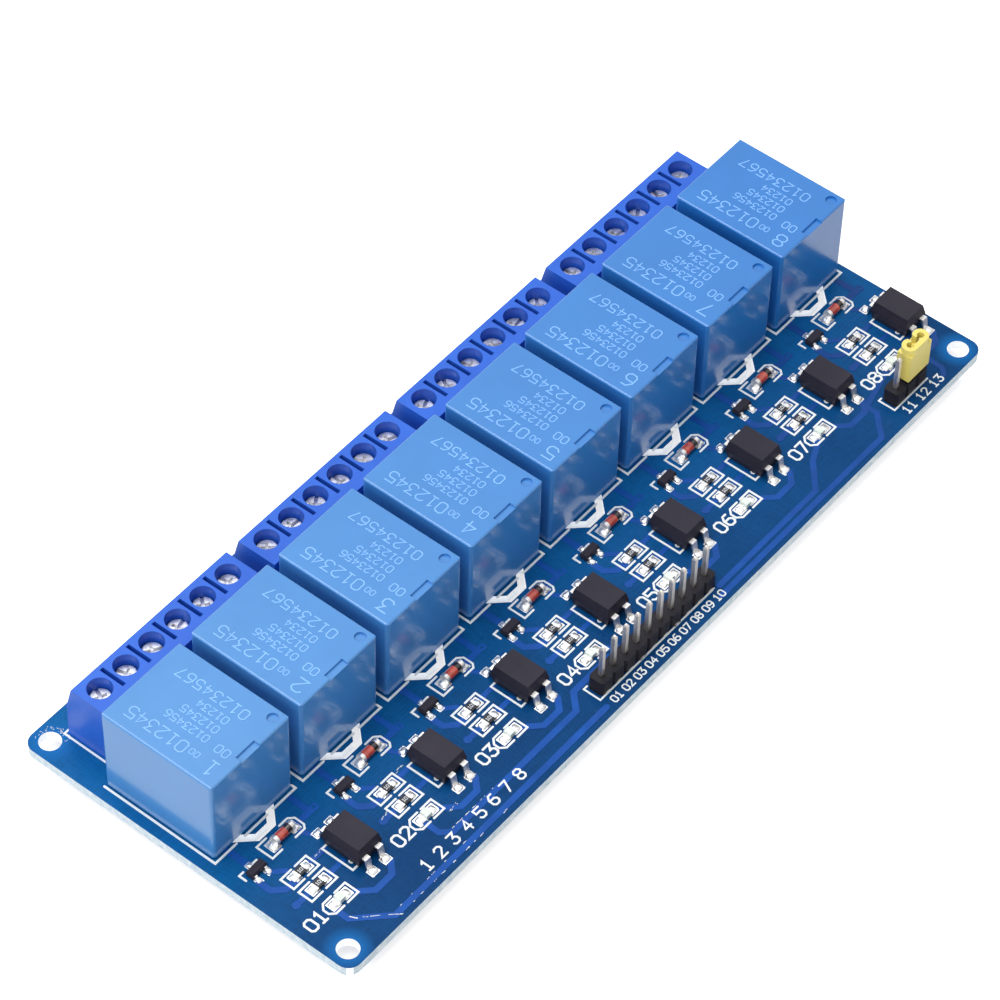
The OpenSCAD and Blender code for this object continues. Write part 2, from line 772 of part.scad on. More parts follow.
// open-topped cap: two round lobes over the pins, notched towards the finger slot between them
module jumper_cap() {
    inner = jumper_d - 2 * jumper_wall;
    lobe_depth = 1.1;
    bore_d = 1.05;
    notch = [pin_pitch, 0.5, 1.3];
    slot = 1;
    color("khaki") translate([jumper_x, header_y, top_z + jumper_low]) difference() {
        union() {
            post([jumper_l, jumper_d, jumper_h - lobe_depth], 0);
            for (x = [-1, 1]) translate([x * pin_pitch / 2, 0, 0])
                cylinder(d = jumper_d, h = jumper_h);
            translate([-pin_pitch / 2, -jumper_d / 2, 0])
                cube([pin_pitch, jumper_d / 2 - 0.3, jumper_h]);
        }
        // one room for the clip, open below
        post([pin_pitch + inner, inner, clip_low + sleeve_h + clip_gap + 1], -1);
        for (x = [-1, 1]) translate([x * pin_pitch / 2, 0, 0])
            cylinder(d = bore_d, h = jumper_h + 1);
        post([notch.x, notch.y, notch.z + 1], jumper_h - notch.z);
        // slot behind the front wall
        translate([-slot / 2, -0.4, clip_low + sleeve_h + 0.5]) cube([slot, jumper_d, jumper_h]);
    }
}

// two sprung sleeves joined by a bridge
module jumper_clip() {
    color(BRONZE) translate([jumper_x, header_y, top_z + jumper_low]) difference() {
        union() {
            for (x = [-1, 1]) translate([x * pin_pitch / 2, 0, 0])
                post([sleeve_s, sleeve_s, sleeve_h], clip_low);
            post([pin_pitch, 0.25, sleeve_h - 1.2], clip_low + 1.2);
        }
        for (x = [-1, 1]) translate([x * pin_pitch / 2, 0, 0])
            post([sleeve_bore, sleeve_bore, sleeve_h + 2], -0.5);
    }
}

// ---- small parts ----

// a moulded body that narrows above and below its lead line
module drafted_side(w, low, mid, high, draft) {
    band = 0.15;
    half = [
        [w / 2 - draft, low], [w / 2, mid - band], [w / 2, mid + band], [w / 2 - draft, high]
    ];
    polygon(concat(half, [for (i = [3:-1:0]) [-half[i].x, half[i].y]]));
}

module drafted_body(w, l, low, mid, high, draft) {
    intersection() {
        rotate([90, 0, 0]) linear_extrude(l, center = true)
            drafted_side(w, low, mid, high, draft);
        rotate([90, 0, 90]) linear_extrude(w, center = true)
            drafted_side(l, low, mid, high, draft);
    }
}

module optocoupler(n) {
    color(BLACK) translate([relay_x(n) + opto_x, opto_y, top_z])
        drafted_body(opto_w, opto_l, 0.15, opto_h * 0.53, opto_h, 0.35);
}

// gull-wing leads, two at each end of the body
module optocoupler_leads() {
    lead_t = 0.25;
    out = opto_l / 2 + 0.55;
    color(TIN) each_channel(opto_x, opto_y) for (x = [-0.5, 0.5], turn = [0, 180]) {
        translate([x * pin_pitch, 0, 0]) rotate([0, 0, turn]) bent_strip([
            [opto_l / 2, opto_h * 0.53], [out, opto_h * 0.53],
            [out + 0.35, lead_t / 2], [opto_span / 2, lead_t / 2]
        ], lead_t, 1);
    }
}

module transistors() {
    color(BLACK) each_channel(transistor_x, transistor_y)
        drafted_body(sot_w, sot_l, 0.05, sot_h / 2, sot_h, 0.12);
}

// two leads towards the front and one towards the rear
module transistor_leads() {
    lead_t = 0.14;
    out = sot_l / 2 + 0.18;
    color(TIN) each_channel(transistor_x, transistor_y)
        for (place = [[-0.95, 180], [0.95, 180], [0, 0]]) {
            translate([place.x, 0, 0]) rotate([0, 0, place.y]) bent_strip([
                [sot_l / 2, sot_h / 2], [out, sot_h / 2],
                [out + 0.1, lead_t / 2], [out + 0.5, lead_t / 2]
            ], lead_t, 0.42);
        }
}

module lying(length, x, d) {
    translate([x, 0, diode_d / 2 + 0.05]) rotate([0, 90, 0]) cylinder(d = d, h = length);
}

diode_cap_l = 0.55;

module diode_glasses() {
    color([0.78, 0.25, 0.16]) each_channel(diode_x, diode_y)
        lying(diode_l - 2 * diode_cap_l, -diode_l / 2 + diode_cap_l, diode_d);
}

module diode_caps() {
    color(TIN) each_channel(diode_x, diode_y) {
        lying(diode_cap_l, -diode_l / 2, diode_d + 0.1);
        lying(diode_cap_l, diode_l / 2 - diode_cap_l, diode_d + 0.1);
    }
}

module each_resistor() {
    for (y = [front_resistor_y, rear_resistor_y]) each_channel(resistor_x, y) children();
}

// metal that wraps both ends of a chip
module chip_ends(h, wrap, t) {
    difference() {
        for (x = [-1, 1]) translate([x * (chip_l - wrap) / 2, 0, 0]) post([wrap, chip_w, h], 0);
        post([chip_l - 2 * t, chip_w + 2, h - 2 * t], t);
    }
}

module resistors() {
    t = 0.06;
    color([0.25, 0.24, 0.25]) each_resistor() difference() {
        post([chip_l, chip_w, resistor_h], 0);
        chip_ends(resistor_h, 0.38, t);
    }
}

module resistor_ends() {
    color(TIN) each_resistor() chip_ends(resistor_h, 0.38, 0.06);
}

module indicator_lights() {
    foot_h = 0.3;
    lens_half = chip_l / 2 - 0.42;
    color("honeydew") each_channel(resistor_x, led_y) {
        difference() {
            post([chip_l, chip_w, foot_h], 0);
            chip_ends(foot_h, 0.42, 0.05);
        }
        rotate([90, 0, 0]) linear_extrude(chip_w, center = true) polygon([
            [-lens_half, foot_h], [lens_half, foot_h],
            [lens_half - 0.1, led_h], [0.1 - lens_half, led_h]
        ]);
    }
}

module indicator_ends() {
    color(TIN) each_channel(resistor_x, led_y) chip_ends(0.3, 0.42, 0.05);
}

// ---- solder ----

// the fillet of solder round one pin, from the board down to a narrow neck
module solder_joint(pin, h) {
    neck = norm(pin) / 2 + solder_neck;
    steps = 4;
    translate([0, 0, pin_tail - h]) difference() {
        rotate_extrude() polygon(concat(
            [[0, h], [neck + solder_spread, h]],
            [for (i = [1:steps]) [
                neck + solder_spread * (1 - sin(90 * i / steps)),
                h * cos(90 * i / steps)
            ]],
            [[0, 0]]
        ));
        post([pin.x, pin.y, h + 2], -1);
    }
}

module solder_joints() {
    blade = [blade_w, blade_t];
    coil_pin = [coil_pin_s, coil_pin_s];
    terminal_pin = [terminal_pin_s, terminal_pin_s];
    header_pin = [pin_s, pin_s];
    color(SOLDER) {
        for (n = [1:channels]) translate([relay_x(n), relay_y, 0]) {
            translate([0, common_y, 0]) solder_joint(blade, pin_tail * solder_share);
            each_paired_pin(coil_y) solder_joint(coil_pin, pin_tail * solder_share);
            each_paired_pin(contact_y) solder_joint(blade, pin_tail * solder_share);
        }
        for (n = [1:blocks], k = [0:ways - 1])
            translate([block_x(n) + way_x(k), block_y, 0])
                solder_joint(terminal_pin, pin_tail * solder_share);
        for (k = [0:input_ways - 1]) translate([input_header_x + k * pin_pitch, header_y, 0])
            solder_joint(header_pin, header_tail * solder_share);
        for (k = [0:power_ways - 1]) translate([power_header_x + k * pin_pitch, header_y, 0])
            solder_joint(header_pin, header_tail * solder_share);
    }
}

// ---- nodes ----

circuit_board();
for (n = [1:channels]) relay_cover(n);
for (n = [1:channels]) armature(n);
relay_bases();
relay_bobbins();
relay_coils();
relay_yokes();
relay_cores();
common_terminals();
coil_terminals();
open_contacts();
closed_contacts();
for (n = [1:blocks]) terminal_block(n);
terminal_screws();
terminal_cages();
terminal_pins();
wire_guards();
for (n = [1:channels]) optocoupler(n);
optocoupler_leads();
transistors();
transistor_leads();
diode_glasses();
diode_caps();
resistors();
resistor_ends();
indicator_lights();
indicator_ends();
input_header();
input_pins();
power_header();
power_pins();
jumper_cap();
jumper_clip();
solder_joints();
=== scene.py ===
import itertools
import math
import random

import bmesh
import bpy
from mathutils import Euler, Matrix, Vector, noise


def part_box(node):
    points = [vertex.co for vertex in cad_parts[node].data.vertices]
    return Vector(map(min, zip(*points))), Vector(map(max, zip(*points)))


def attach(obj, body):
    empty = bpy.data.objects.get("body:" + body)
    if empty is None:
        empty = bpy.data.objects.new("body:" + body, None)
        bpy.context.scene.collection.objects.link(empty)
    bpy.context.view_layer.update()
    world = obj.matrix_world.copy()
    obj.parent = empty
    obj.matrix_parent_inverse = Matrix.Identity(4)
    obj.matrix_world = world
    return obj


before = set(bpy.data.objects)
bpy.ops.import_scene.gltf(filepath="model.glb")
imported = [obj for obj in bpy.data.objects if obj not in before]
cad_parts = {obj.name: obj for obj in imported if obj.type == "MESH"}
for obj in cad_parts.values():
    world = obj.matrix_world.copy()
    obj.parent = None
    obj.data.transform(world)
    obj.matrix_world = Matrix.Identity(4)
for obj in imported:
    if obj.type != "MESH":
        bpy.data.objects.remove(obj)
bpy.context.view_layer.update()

# Dresses the relay module board: paints each CAD node, and adds the copper, pads, solder, print
# and small marks that lie on them. Lengths are in millimetres until a mesh or shader takes them.
MM = 0.001
CHANNELS = 8
BLOCKS = 4
INPUT_PINS = 10
POWER_PINS = 3
BOARD = "board"


# ---- places taken from the frame ----

# points that fall in one cell of this many to the metre count as one point
WELD_CELLS = 2e5


def box_mm(node):
    """A node's lowest and highest corner."""
    low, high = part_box(node)
    return low / MM, high / MM


def solids(node):
    """The boxes of a node's separate solids, from left to right."""
    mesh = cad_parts[node].data
    owner = list(range(len(mesh.vertices)))

    def root(i):
        while owner[i] != i:
            owner[i] = owner[owner[i]]
            i = owner[i]
        return i

    first_at = {}
    for v in mesh.vertices:
        key = tuple(round(c * WELD_CELLS) for c in v.co)
        owner[root(v.index)] = root(first_at.setdefault(key, v.index))
    for edge in mesh.edges:
        owner[root(edge.vertices[0])] = root(edge.vertices[1])
    boxes = {}
    for v in mesh.vertices:
        low, high = boxes.setdefault(root(v.index), (Vector(v.co), Vector(v.co)))
        for axis in range(3):
            low[axis] = min(low[axis], v.co[axis])
            high[axis] = max(high[axis], v.co[axis])
    rows = [(low / MM, high / MM) for low, high in boxes.values()]
    return sorted(rows, key=lambda row: (round(row[0].x, 1), row[0].y))


def middle(solid):
    """The middle of a box."""
    return (solid[0] + solid[1]) / 2


def middles(*nodes):
    """The middles of all the solids of some nodes."""
    return [middle(solid) for node in nodes for solid in solids(node)]


BOARD_LOW, BOARD_HIGH = box_mm("circuit_board")
TOP = BOARD_HIGH.z
UNDER = BOARD_LOW.z
RELAYS = [box_mm(f"relay_cover_{n}") for n in range(1, CHANNELS + 1)]
RELAY_X = [middle(relay).x for relay in RELAYS]
RELAY_TOP = RELAYS[0][1].z
HOLE_INSET = 2.7
HOLE_X = BOARD_HIGH.x - HOLE_INSET
HOLE_Y = BOARD_HIGH.y - HOLE_INSET
HOLE_R = 1.6

# how far copper, pads and print stand above the face that carries them, and sink into it
COPPER_T = 0.04
PAD_T = 0.05
PRINT_T = 0.07
SINK = 0.02
COPPER_LOW, COPPER_HIGH = TOP - SINK, TOP + COPPER_T
PAD_LOW, PAD_HIGH = TOP - SINK, TOP + PAD_T
PRINT_LOW, PRINT_HIGH = TOP - SINK, TOP + PRINT_T


# ---- shapes ----

# each line of a piece is a little higher than the one before, so that lines that cross don't share
# a surface; the heights start again after this many lines
STROKE_STEP = 0.003
STROKE_LEVELS = 7
# least divisor at a bend, so that a sharp one has no long point
MITRE_LIMIT = 0.35
# points in the round end of a line
COPPER_ENDS = 6
TRACK_ENDS = 5
PRINT_ENDS = 3
FINE_ENDS = 2
CORNER_STEPS = 4


class Shape:
    """Gathers the faces of one piece."""

    def __init__(self):
        self.points = []
        self.faces = []
        self.strokes = 0

    def add(self, points, faces):
        """Adds points, and faces that count from the first of them."""
        start = len(self.points)
        self.points += [tuple(p) for p in points]
        self.faces += [[start + i for i in face] for face in faces]

    def prism(self, outline, low, high):
        """A closed slab with that outline, given anticlockwise."""
        count = len(outline)
        points = [(x, y, low) for x, y in outline] + [(x, y, high) for x, y in outline]
        sides = [
            [i, (i + 1) % count, count + (i + 1) % count, count + i] for i in range(count)
        ]
        self.add(points, [list(range(count))[::-1], list(range(count, 2 * count))] + sides)

    def ring(self, x, y, inner, outer, low, high):
        """A flat washer round (x, y)."""
        steps = 28
        points, faces = [], []
        for i in range(steps):
            c = math.cos(2 * math.pi * i / steps)
            s = math.sin(2 * math.pi * i / steps)
            for r, z in ((inner, low), (outer, low), (outer, high), (inner, high)):
                points.append((x + r * c, y + r * s, z))
        for i in range(steps):
            a, b = 4 * i, 4 * ((i + 1) % steps)
            for k in range(4):
                faces.append([a + k, b + k, b + (k + 1) % 4, a + (k + 1) % 4])
        self.add(points, faces)

    def stroke(self, path, width, low, high, ends):
        """A line of even width with round ends."""
        self.strokes += 1
        level = STROKE_STEP * (self.strokes % STROKE_LEVELS)
        self.prism(stroke_outline(path, width, ends), low, high + level)

    def loft(self, rings):
        """A closed skin over rings of equally many points, closed at both ends."""
        count = len(rings[0])
        points = [p for ring in rings for p in ring]
        faces = [list(range(count))[::-1]]
        for k in range(len(rings) - 1):
            low, high = k * count, (k + 1) * count
            for i in range(count):
                j = (i + 1) % count
                faces.append([low + i, low + j, high + j, high + i])
        faces.append([(len(rings) - 1) * count + i for i in range(count)])
        self.add(points, faces)

    def piece(self, name, material, slot, body=BOARD, smooth=False):
        """Makes the object and lets it ride on a body; slot is not used."""
        mesh = bpy.data.meshes.new(name)
        mesh.from_pydata([[c * MM for c in p] for p in self.points], [], self.faces)
        mesh.validate()
        work = bmesh.new()
        work.from_mesh(mesh)
        bmesh.ops.recalc_face_normals(work, faces=work.faces)
        work.to_mesh(mesh)
        work.free()
        if smooth:
            mesh.shade_smooth()
        mesh.materials.append(material)
        obj = bpy.data.objects.new(name, mesh)
        bpy.context.scene.collection.objects.link(obj)
        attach(obj, body)


def stroke_outline(path, width, ends):
    """The outline of a line along path, with that many points in each round end."""
    points = [Vector(p) for p in path]
    half = width / 2
    left, right = [], []
    last = len(points) - 1
    for i, p in enumerate(points):
        into = (points[max(i, 1)] - points[max(i, 1) - 1]).normalized()
        away = (points[min(i + 1, last)] - points[min(i + 1, last) - 1]).normalized()
        side = Vector((-into.y - away.y, into.x + away.x)) / max(1 + into.dot(away), MITRE_LIMIT)
        left.append(p + side * half)
        right.append(p - side * half)

    def cap(centre, direction):
        start = math.atan2(direction.y, direction.x) - math.pi / 2
        turns = [start + math.pi * (k + 1) / (ends + 1) for k in range(ends)]
        return [centre + half * Vector((math.cos(t), math.sin(t))) for t in turns]

    ahead = (points[-1] - points[-2]).normalized()
    back = (points[0] - points[1]).normalized()
    outline = right + cap(points[-1], ahead) + left[::-1] + cap(points[0], back)
    return [tuple(p) for p in outline]


def arc(x, y, r, start, end, steps=10):
    """Points round (x, y) between two angles in degrees."""
    turns = [math.radians(start + (end - start) * i / steps) for i in range(steps + 1)]
    return [(x + r * math.cos(t), y + r * math.sin(t)) for t in turns]


def rect(x0, y0, x1, y1, r):
    """The outline of a rectangle with round corners of radius r."""
    corners = (
        (x1 - r, y0 + r, -90), (x1 - r, y1 - r, 0),
        (x0 + r, y1 - r, 90), (x0 + r, y0 + r, 180),
    )
    return [p for x, y, a in corners for p in arc(x, y, r, a, a + 90, CORNER_STEPS)]


def blob(shape, x, y, z, half_w, half_l, height, seed, lean, lumpy):
    """A drop of set solder on a flat pad: a squarish base and a round, uneven top.

    The top lies off the base's middle by lean, and lumpy is the share by which the skin strays.
    """
    around, up = 20, 6
    curve = 0.6  # less is fuller
    tip = 0.04  # share of the width that is left at the top
    rings = []
    for k in range(up + 1):
        t = k / up
        shrink = math.cos(t * math.pi / 2) ** curve if k < up else tip
        ring = []
        for i in range(around):
            a = 2 * math.pi * i / around
            c, s = math.cos(a), math.sin(a)
            square = 1 / (c ** 4 + s ** 4) ** 0.25
            p = Vector((c * square * half_w * shrink, s * square * half_l * shrink, 0))
            # each seed reads the noise at another place
            wave = noise.noise(Vector((c * 1.3 + seed * 7.1, s * 1.3, t * 1.7 + seed)))
            p *= 1 + lumpy * wave * (0.3 + t)
            rise = height * math.sin(t * math.pi / 2) * (1 + lumpy * wave)
            ring.append((x + p.x + lean[0] * t, y + p.y + lean[1] * t, z - SINK + rise))
        rings.append(ring)
    shape.loft(rings)


# ---- plain numbers ----

# the open lines of each digit, on a grid of this many cells
DIGIT_W, DIGIT_H = 4, 6
DIGITS = {
    "0": [
        [(2, 6), (1, 6), (0, 5), (0, 1), (1, 0), (2, 0)],
        [(2, 0), (3, 0), (4, 1), (4, 5), (3, 6), (2, 6)],
    ],
    "1": [[(0.8, 5), (2, 6), (2, 0)], [(0.6, 0), (3.4, 0)]],
    "2": [[(0, 5), (1, 6), (3, 6), (4, 5), (4, 4), (0, 0), (4, 0)]],
    "3": [[(0, 6), (4, 6), (2, 3.5), (3, 3.5), (4, 2.5), (4, 1), (3, 0), (1, 0), (0, 1)]],
    "4": [[(3, 0), (3, 6), (0, 2)], [(0, 2), (4, 2)]],
    "5": [[(4, 6), (0, 6), (0, 3.6), (3, 3.6), (4, 2.6), (4, 1), (3, 0), (1, 0), (0, 1)]],
    "6": [
        [(3.6, 6), (1.6, 6), (0, 4), (0, 1), (1, 0), (2, 0)],
        [(2, 0), (3, 0), (4, 1), (4, 2.4), (3, 3.4), (0, 3.4)],
    ],
    "7": [[(0, 6), (4, 6), (1.2, 0)]],
    "8": [
        [(2, 3.2), (1, 3.2), (0, 4.2), (0, 5), (1, 6), (2, 6)],
        [(2, 6), (3, 6), (4, 5), (4, 4.2), (3, 3.2), (2, 3.2)],
        [(1.6, 3.2), (1, 3.2), (0, 2.2), (0, 1), (1, 0), (2, 0)],
        [(2, 0), (3, 0), (4, 1), (4, 2.2), (3, 3.2), (2.4, 3.2)],
    ],
    "9": [
        [(4, 2.6), (1, 2.6), (0, 3.6), (0, 5), (1, 6), (2, 6)],
        [(2, 6), (3, 6), (4, 5), (4, 2), (2.4, 0), (0.4, 0)],
    ],
}


def write_number(shape, text, x, y, height, weight, low, high, turn=0.0, step=1.5):
    """Plain digits, the first with its lower left corner at (x, y).

    turn is in degrees, and step is how many widths each digit is from the one before.
    """
    unit = height / DIGIT_H
    c, s = math.cos(math.radians(turn)), math.sin(math.radians(turn))
    for i, digit in enumerate(text):
        for line in DIGITS[digit]:
            places = [((px + i * DIGIT_W * step) * unit, py * unit) for px, py in line]
            path = [(x + px * c - py * s, y + px * s + py * c) for px, py in places]
            shape.stroke(path, weight, low, high, PRINT_ENDS)


# ---- materials ----

# the sockets of a Mix node that mixes colours
MIX_FACTOR, MIX_A, MIX_B, MIX_RESULT = 0, 6, 7, 2
DARK, BRIGHT = (0, 0, 0), (1, 1, 1)


class Paint:
    """A short way to write a procedural material."""

    def __init__(self, name):
        self.material = bpy.data.materials.new(name)
        self.material.use_nodes = True
        self.tree = self.material.node_tree
        self.shader = self.tree.nodes["Principled BSDF"]
        coords = self.node("ShaderNodeTexCoord")
        self.place = coords.outputs["Object"]
        self.normal = coords.outputs["Normal"]

    def node(self, kind, **settings):
        """Adds a node; a setting is one of its own values, or else the value of an input."""
        made = self.tree.nodes.new(kind)
        for key, value in settings.items():
            if hasattr(made, key):
                setattr(made, key, value)
            else:
                made.inputs[key.replace("_", " ").title()].default_value = value
        return made

    def link(self, source, target):
        self.tree.links.new(source, target)

    def feed(self, socket, value):
        """Gives a socket a number or colour, or links a source to it."""
        if isinstance(value, (int, float)):
            socket.default_value = value
        elif isinstance(value, tuple):
            socket.default_value = (*value, 1)
        else:
            self.link(value, socket)

    def set(self, **values):
        """Sets values on the shader's own sockets, such as coat_ior on Coat IOR."""
        for key, value in values.items():
            socket = key.replace("_", " ").title().replace("Ior", "IOR")
            self.shader.inputs[socket].default_value = value

    def split(self, vector):
        """The X, Y and Z of a vector."""
        made = self.node("ShaderNodeSeparateXYZ")
        self.link(vector, made.inputs[0])
        return made.outputs

    def span(self, source, low, high, start=0.0, end=1.0):
        """Turns start to end into low to high, and stops at both."""
        made = self.node(
            "ShaderNodeMapRange", from_min=start, from_max=end, to_min=low, to_max=high
        )
        self.link(source, made.inputs["Value"])
        return made.outputs["Result"]

    def noise(self, scale, detail=3.0, roughness=0.5, stretch=None):
        """Noise of that many cells a millimetre."""
        made = self.node("ShaderNodeTexNoise", scale=scale / MM, detail=detail, roughness=roughness)
        place = self.place
        if stretch:
            mapping = self.node("ShaderNodeMapping")
            mapping.inputs["Scale"].default_value = stretch
            self.link(place, mapping.inputs["Vector"])
            place = mapping.outputs["Vector"]
        self.link(place, made.inputs["Vector"])
        return made.outputs["Fac"]

    def ramp(self, source, *stops):
        """Turns a number into a colour, by stops of a position and a colour."""
        made = self.node("ShaderNodeValToRGB")
        elements = made.color_ramp.elements
        while len(elements) < len(stops):
            elements.new(0.5)
        for element, (position, colour) in zip(elements, stops):
            element.position = position
            element.color = (*colour, 1)
        self.link(source, made.inputs["Fac"])
        return made.outputs["Color"]

    def mix(self, factor, a, b, blend="MIX"):
        made = self.node("ShaderNodeMix", data_type="RGBA", blend_type=blend)
        for socket, value in ((MIX_FACTOR, factor), (MIX_A, a), (MIX_B, b)):
            self.feed(made.inputs[socket], value)
        return made.outputs[MIX_RESULT]

    def maths(self, operation, a, b=0.0, clamp=False):
        made = self.node("ShaderNodeMath", operation=operation, use_clamp=clamp)
        made.inputs[2].default_value = 0.0  # MULTIPLY_ADD would add its 0.5
        for socket, value in zip(made.inputs, (a, b)):
            self.feed(socket, value)
        return made.outputs[0]

    def colour(self, source):
        self.link(source, self.shader.inputs["Base Color"])

    def rough(self, source, low, high):
        self.link(self.span(source, low, high), self.shader.inputs["Roughness"])

    def bump(self, source, depth, edge=0.0):
        """Relief of that depth, over edges rounded by that radius."""
        made = self.node("ShaderNodeBump", strength=1.0, distance=depth * MM)
        self.link(source, made.inputs["Height"])
        if edge:
            soft = self.node("ShaderNodeBevel", samples=4, radius=edge * MM)
            self.link(soft.outputs["Normal"], made.inputs["Normal"])
        self.link(made.outputs["Normal"], self.shader.inputs["Normal"])


def grey(value):
    """A colour of three equal parts."""
    return (value, value, value)


def moulded(
    name, colour, deep, roughness, edge=0.05, coat=0.0, speck=0.06, grain=0.002, shine=0.5
):
    """Moulded plastic: two close shades, lighter specks, a faint flow pattern and fine grain."""
    paint = Paint(name)
    base = paint.ramp(paint.noise(0.12, 4.0, 0.6), (0.3, deep), (0.7, colour))
    dust = paint.ramp(paint.noise(2.5, 2.0), (0.72, DARK), (0.8, BRIGHT))
    lighter = tuple(min(1.0, c + speck) for c in colour)
    paint.colour(paint.mix(paint.maths("MULTIPLY", dust, 0.35), base, lighter))
    paint.rough(paint.noise(0.35), roughness * 0.75, roughness * 1.3)
    paint.bump(paint.noise(6.0, 2.0), grain, edge)
    paint.set(coat_weight=coat, coat_roughness=0.08, coat_ior=1.5, specular_ior_level=shine)
    return paint.material


def make_cover_paint():
    """Glossy relay blue with painted shade: lighter at the left of the row than at its right."""
    lit_first_blue, shaded_last_blue = (0.072, 0.27, 0.63), (0.02, 0.188, 0.575)
    speck_blue = (0.14, 0.34, 0.7)
    paint = Paint("relay_cover_plastic")
    # painted shade across the row: the covers darken from the first relay to the last
    along = paint.split(paint.place)["X"]
    right = paint.span(along, 0.0, 1.0, RELAY_X[0] * MM, RELAY_X[-1] * MM)
    base = paint.mix(right, lit_first_blue, shaded_last_blue)
    flow = paint.ramp(paint.noise(0.12, 4.0, 0.6), (0.3, grey(0.93)), (0.7, grey(1.02)))
    dust = paint.ramp(paint.noise(2.5, 2.0), (0.74, DARK), (0.82, BRIGHT))
    base = paint.mix(1.0, base, flow, "MULTIPLY")
    paint.colour(paint.mix(paint.maths("MULTIPLY", dust, 0.25), base, speck_blue))
    paint.rough(paint.noise(0.35), 0.17, 0.27)
    paint.bump(paint.noise(6.0, 2.0), 0.002, 0.05)
    paint.set(coat_weight=0.5, coat_roughness=0.1, coat_ior=1.5)
    return paint.material


def plated(name, colour, dark, roughness, scale=1.0, depth=0.01, stretch=None):
    """Plated or tinned metal with dull patches and fine scratches."""
    paint = Paint(name)
    tarnish = paint.noise(scale, 4.0, 0.65, stretch)
    paint.colour(paint.ramp(tarnish, (0.32, dark), (0.62, colour)))
    paint.rough(paint.noise(scale * 2.3), roughness * 0.6, roughness * 1.5)
    paint.bump(paint.noise(scale * 3.0, 3.0, 0.6, stretch), depth)
    paint.set(metallic=1.0)
    return paint.material


def make_board_paint():
    """Solder mask on both faces, darker towards the front by painted shade, and bare glass cloth on
    the rim, holes and slots, with painted light glowing in the holes and slots.
    """
    lit_rear_deep, lit_rear_light = (0.003, 0.084, 0.25), (0.005, 0.12, 0.35)
    shaded_front_deep, shaded_front_light = (0.003, 0.042, 0.145), (0.004, 0.062, 0.2)
    halo_blue = (0.008, 0.14, 0.43)
    rim_dark, rim_pale = (0.5, 0.63, 0.72), (0.8, 0.87, 0.91)
    lit_hole_white, painted_hole_glow = (0.9, 0.92, 0.94), (0.9, 0.93, 0.96)
    halo_start, halo_end = 1.9, 3.6  # radii between which the halo fades
    rim_depth = 0.3
    front_shade_fade = -45.0  # a metre, so from the middle to 22 mm in front of it
    paint = Paint("solder_mask")
    place = paint.split(paint.place)
    across, along = (paint.maths("ABSOLUTE", place[axis]) for axis in ("X", "Y"))
    # painted shade: teal beside the relays, a darker navy at the front
    front = paint.maths("MULTIPLY_ADD", place["Y"], front_shade_fade, clamp=True)
    deep = paint.mix(front, lit_rear_deep, shaded_front_deep)
    light = paint.mix(front, lit_rear_light, shaded_front_light)
    cloud = paint.ramp(paint.noise(0.05, 4.0, 0.55), (0.3, DARK), (0.72, BRIGHT))
    mask = paint.mix(cloud, deep, light)
    weave_x = paint.noise(1.4, 1.0, 0.3, (0.25, 3.0, 1.0))
    weave_y = paint.noise(1.4, 1.0, 0.3, (3.0, 0.25, 1.0))
    weave = paint.maths("ADD", weave_x, weave_y)
    strands = paint.ramp(weave, (0.85, grey(0.7)), (1.15, grey(1.2)))
    mask = paint.mix(0.3, mask, paint.mix(1.0, mask, strands, "MULTIPLY"))
    # a brighter halo round the mounting holes
    dx = paint.maths("SUBTRACT", across, HOLE_X * MM)
    dy = paint.maths("SUBTRACT", along, HOLE_Y * MM)
    squares = [paint.maths("MULTIPLY", d, d) for d in (dx, dy)]
    apart = paint.maths("SQRT", paint.maths("ADD", *squares))
    halo = paint.span(apart, 0.75, 0.0, halo_start * MM, halo_end * MM)
    mask = paint.mix(halo, mask, halo_blue)
    cut = paint.ramp(paint.noise(1.2, 4.0, 0.6), (0.3, rim_dark), (0.7, rim_pale))
    ends = paint.maths("GREATER_THAN", across, (BOARD_HIGH.x - rim_depth) * MM)
    sides = paint.maths("GREATER_THAN", along, (BOARD_HIGH.y - rim_depth) * MM)
    rim = paint.maths("MAXIMUM", ends, sides)
    # painted light: the walls of holes and slots get a paler white than the rim's cloth colour
    edge = paint.mix(rim, lit_hole_white, cut)
    upward = paint.maths("ABSOLUTE", paint.split(paint.normal)["Z"])
    side = paint.maths("LESS_THAN", upward, 0.5)
    paint.colour(paint.mix(side, mask, edge))
    # painted light: the walls of holes and slots glow, standing in for the white ground's light
    # seen through the cloth
    inner = paint.maths("MULTIPLY", side, paint.maths("SUBTRACT", 1.0, rim))
    paint.link(paint.mix(inner, DARK, painted_hole_glow), paint.shader.inputs["Emission Color"])
    paint.rough(paint.noise(0.6), 0.18, 0.34)
    paint.bump(paint.maths("ADD", weave, paint.noise(0.4)), 0.005)
    paint.set(emission_strength=0.28, specular_ior_level=0.08)
    return paint.material


def make_copper_paint():
    """Copper under the solder mask: a brighter blue, darker from the middle to the right by painted
    shade.
    """
    lit_left_blue, shaded_right_blue = (0.009, 0.09, 0.41), (0.008, 0.058, 0.25)
    right_shade_fade = 12.0  # a metre, so it isn't complete at the right end
    paint = Paint("masked_copper")
    # painted shade: the copper darkens towards the right end
    right = paint.maths("MULTIPLY_ADD", paint.split(paint.place)["X"], right_shade_fade, clamp=True)
    tone = paint.ramp(paint.noise(0.25, 4.0, 0.6), (0.3, grey(0.75)), (0.7, BRIGHT))
    base = paint.mix(right, lit_left_blue, shaded_right_blue)
    paint.colour(paint.mix(1.0, base, tone, "MULTIPLY"))
    paint.rough(paint.noise(1.2), 0.16, 0.32)
    paint.bump(paint.noise(0.9), 0.012, 0.05)
    paint.set(specular_ior_level=0.18)
    return paint.material


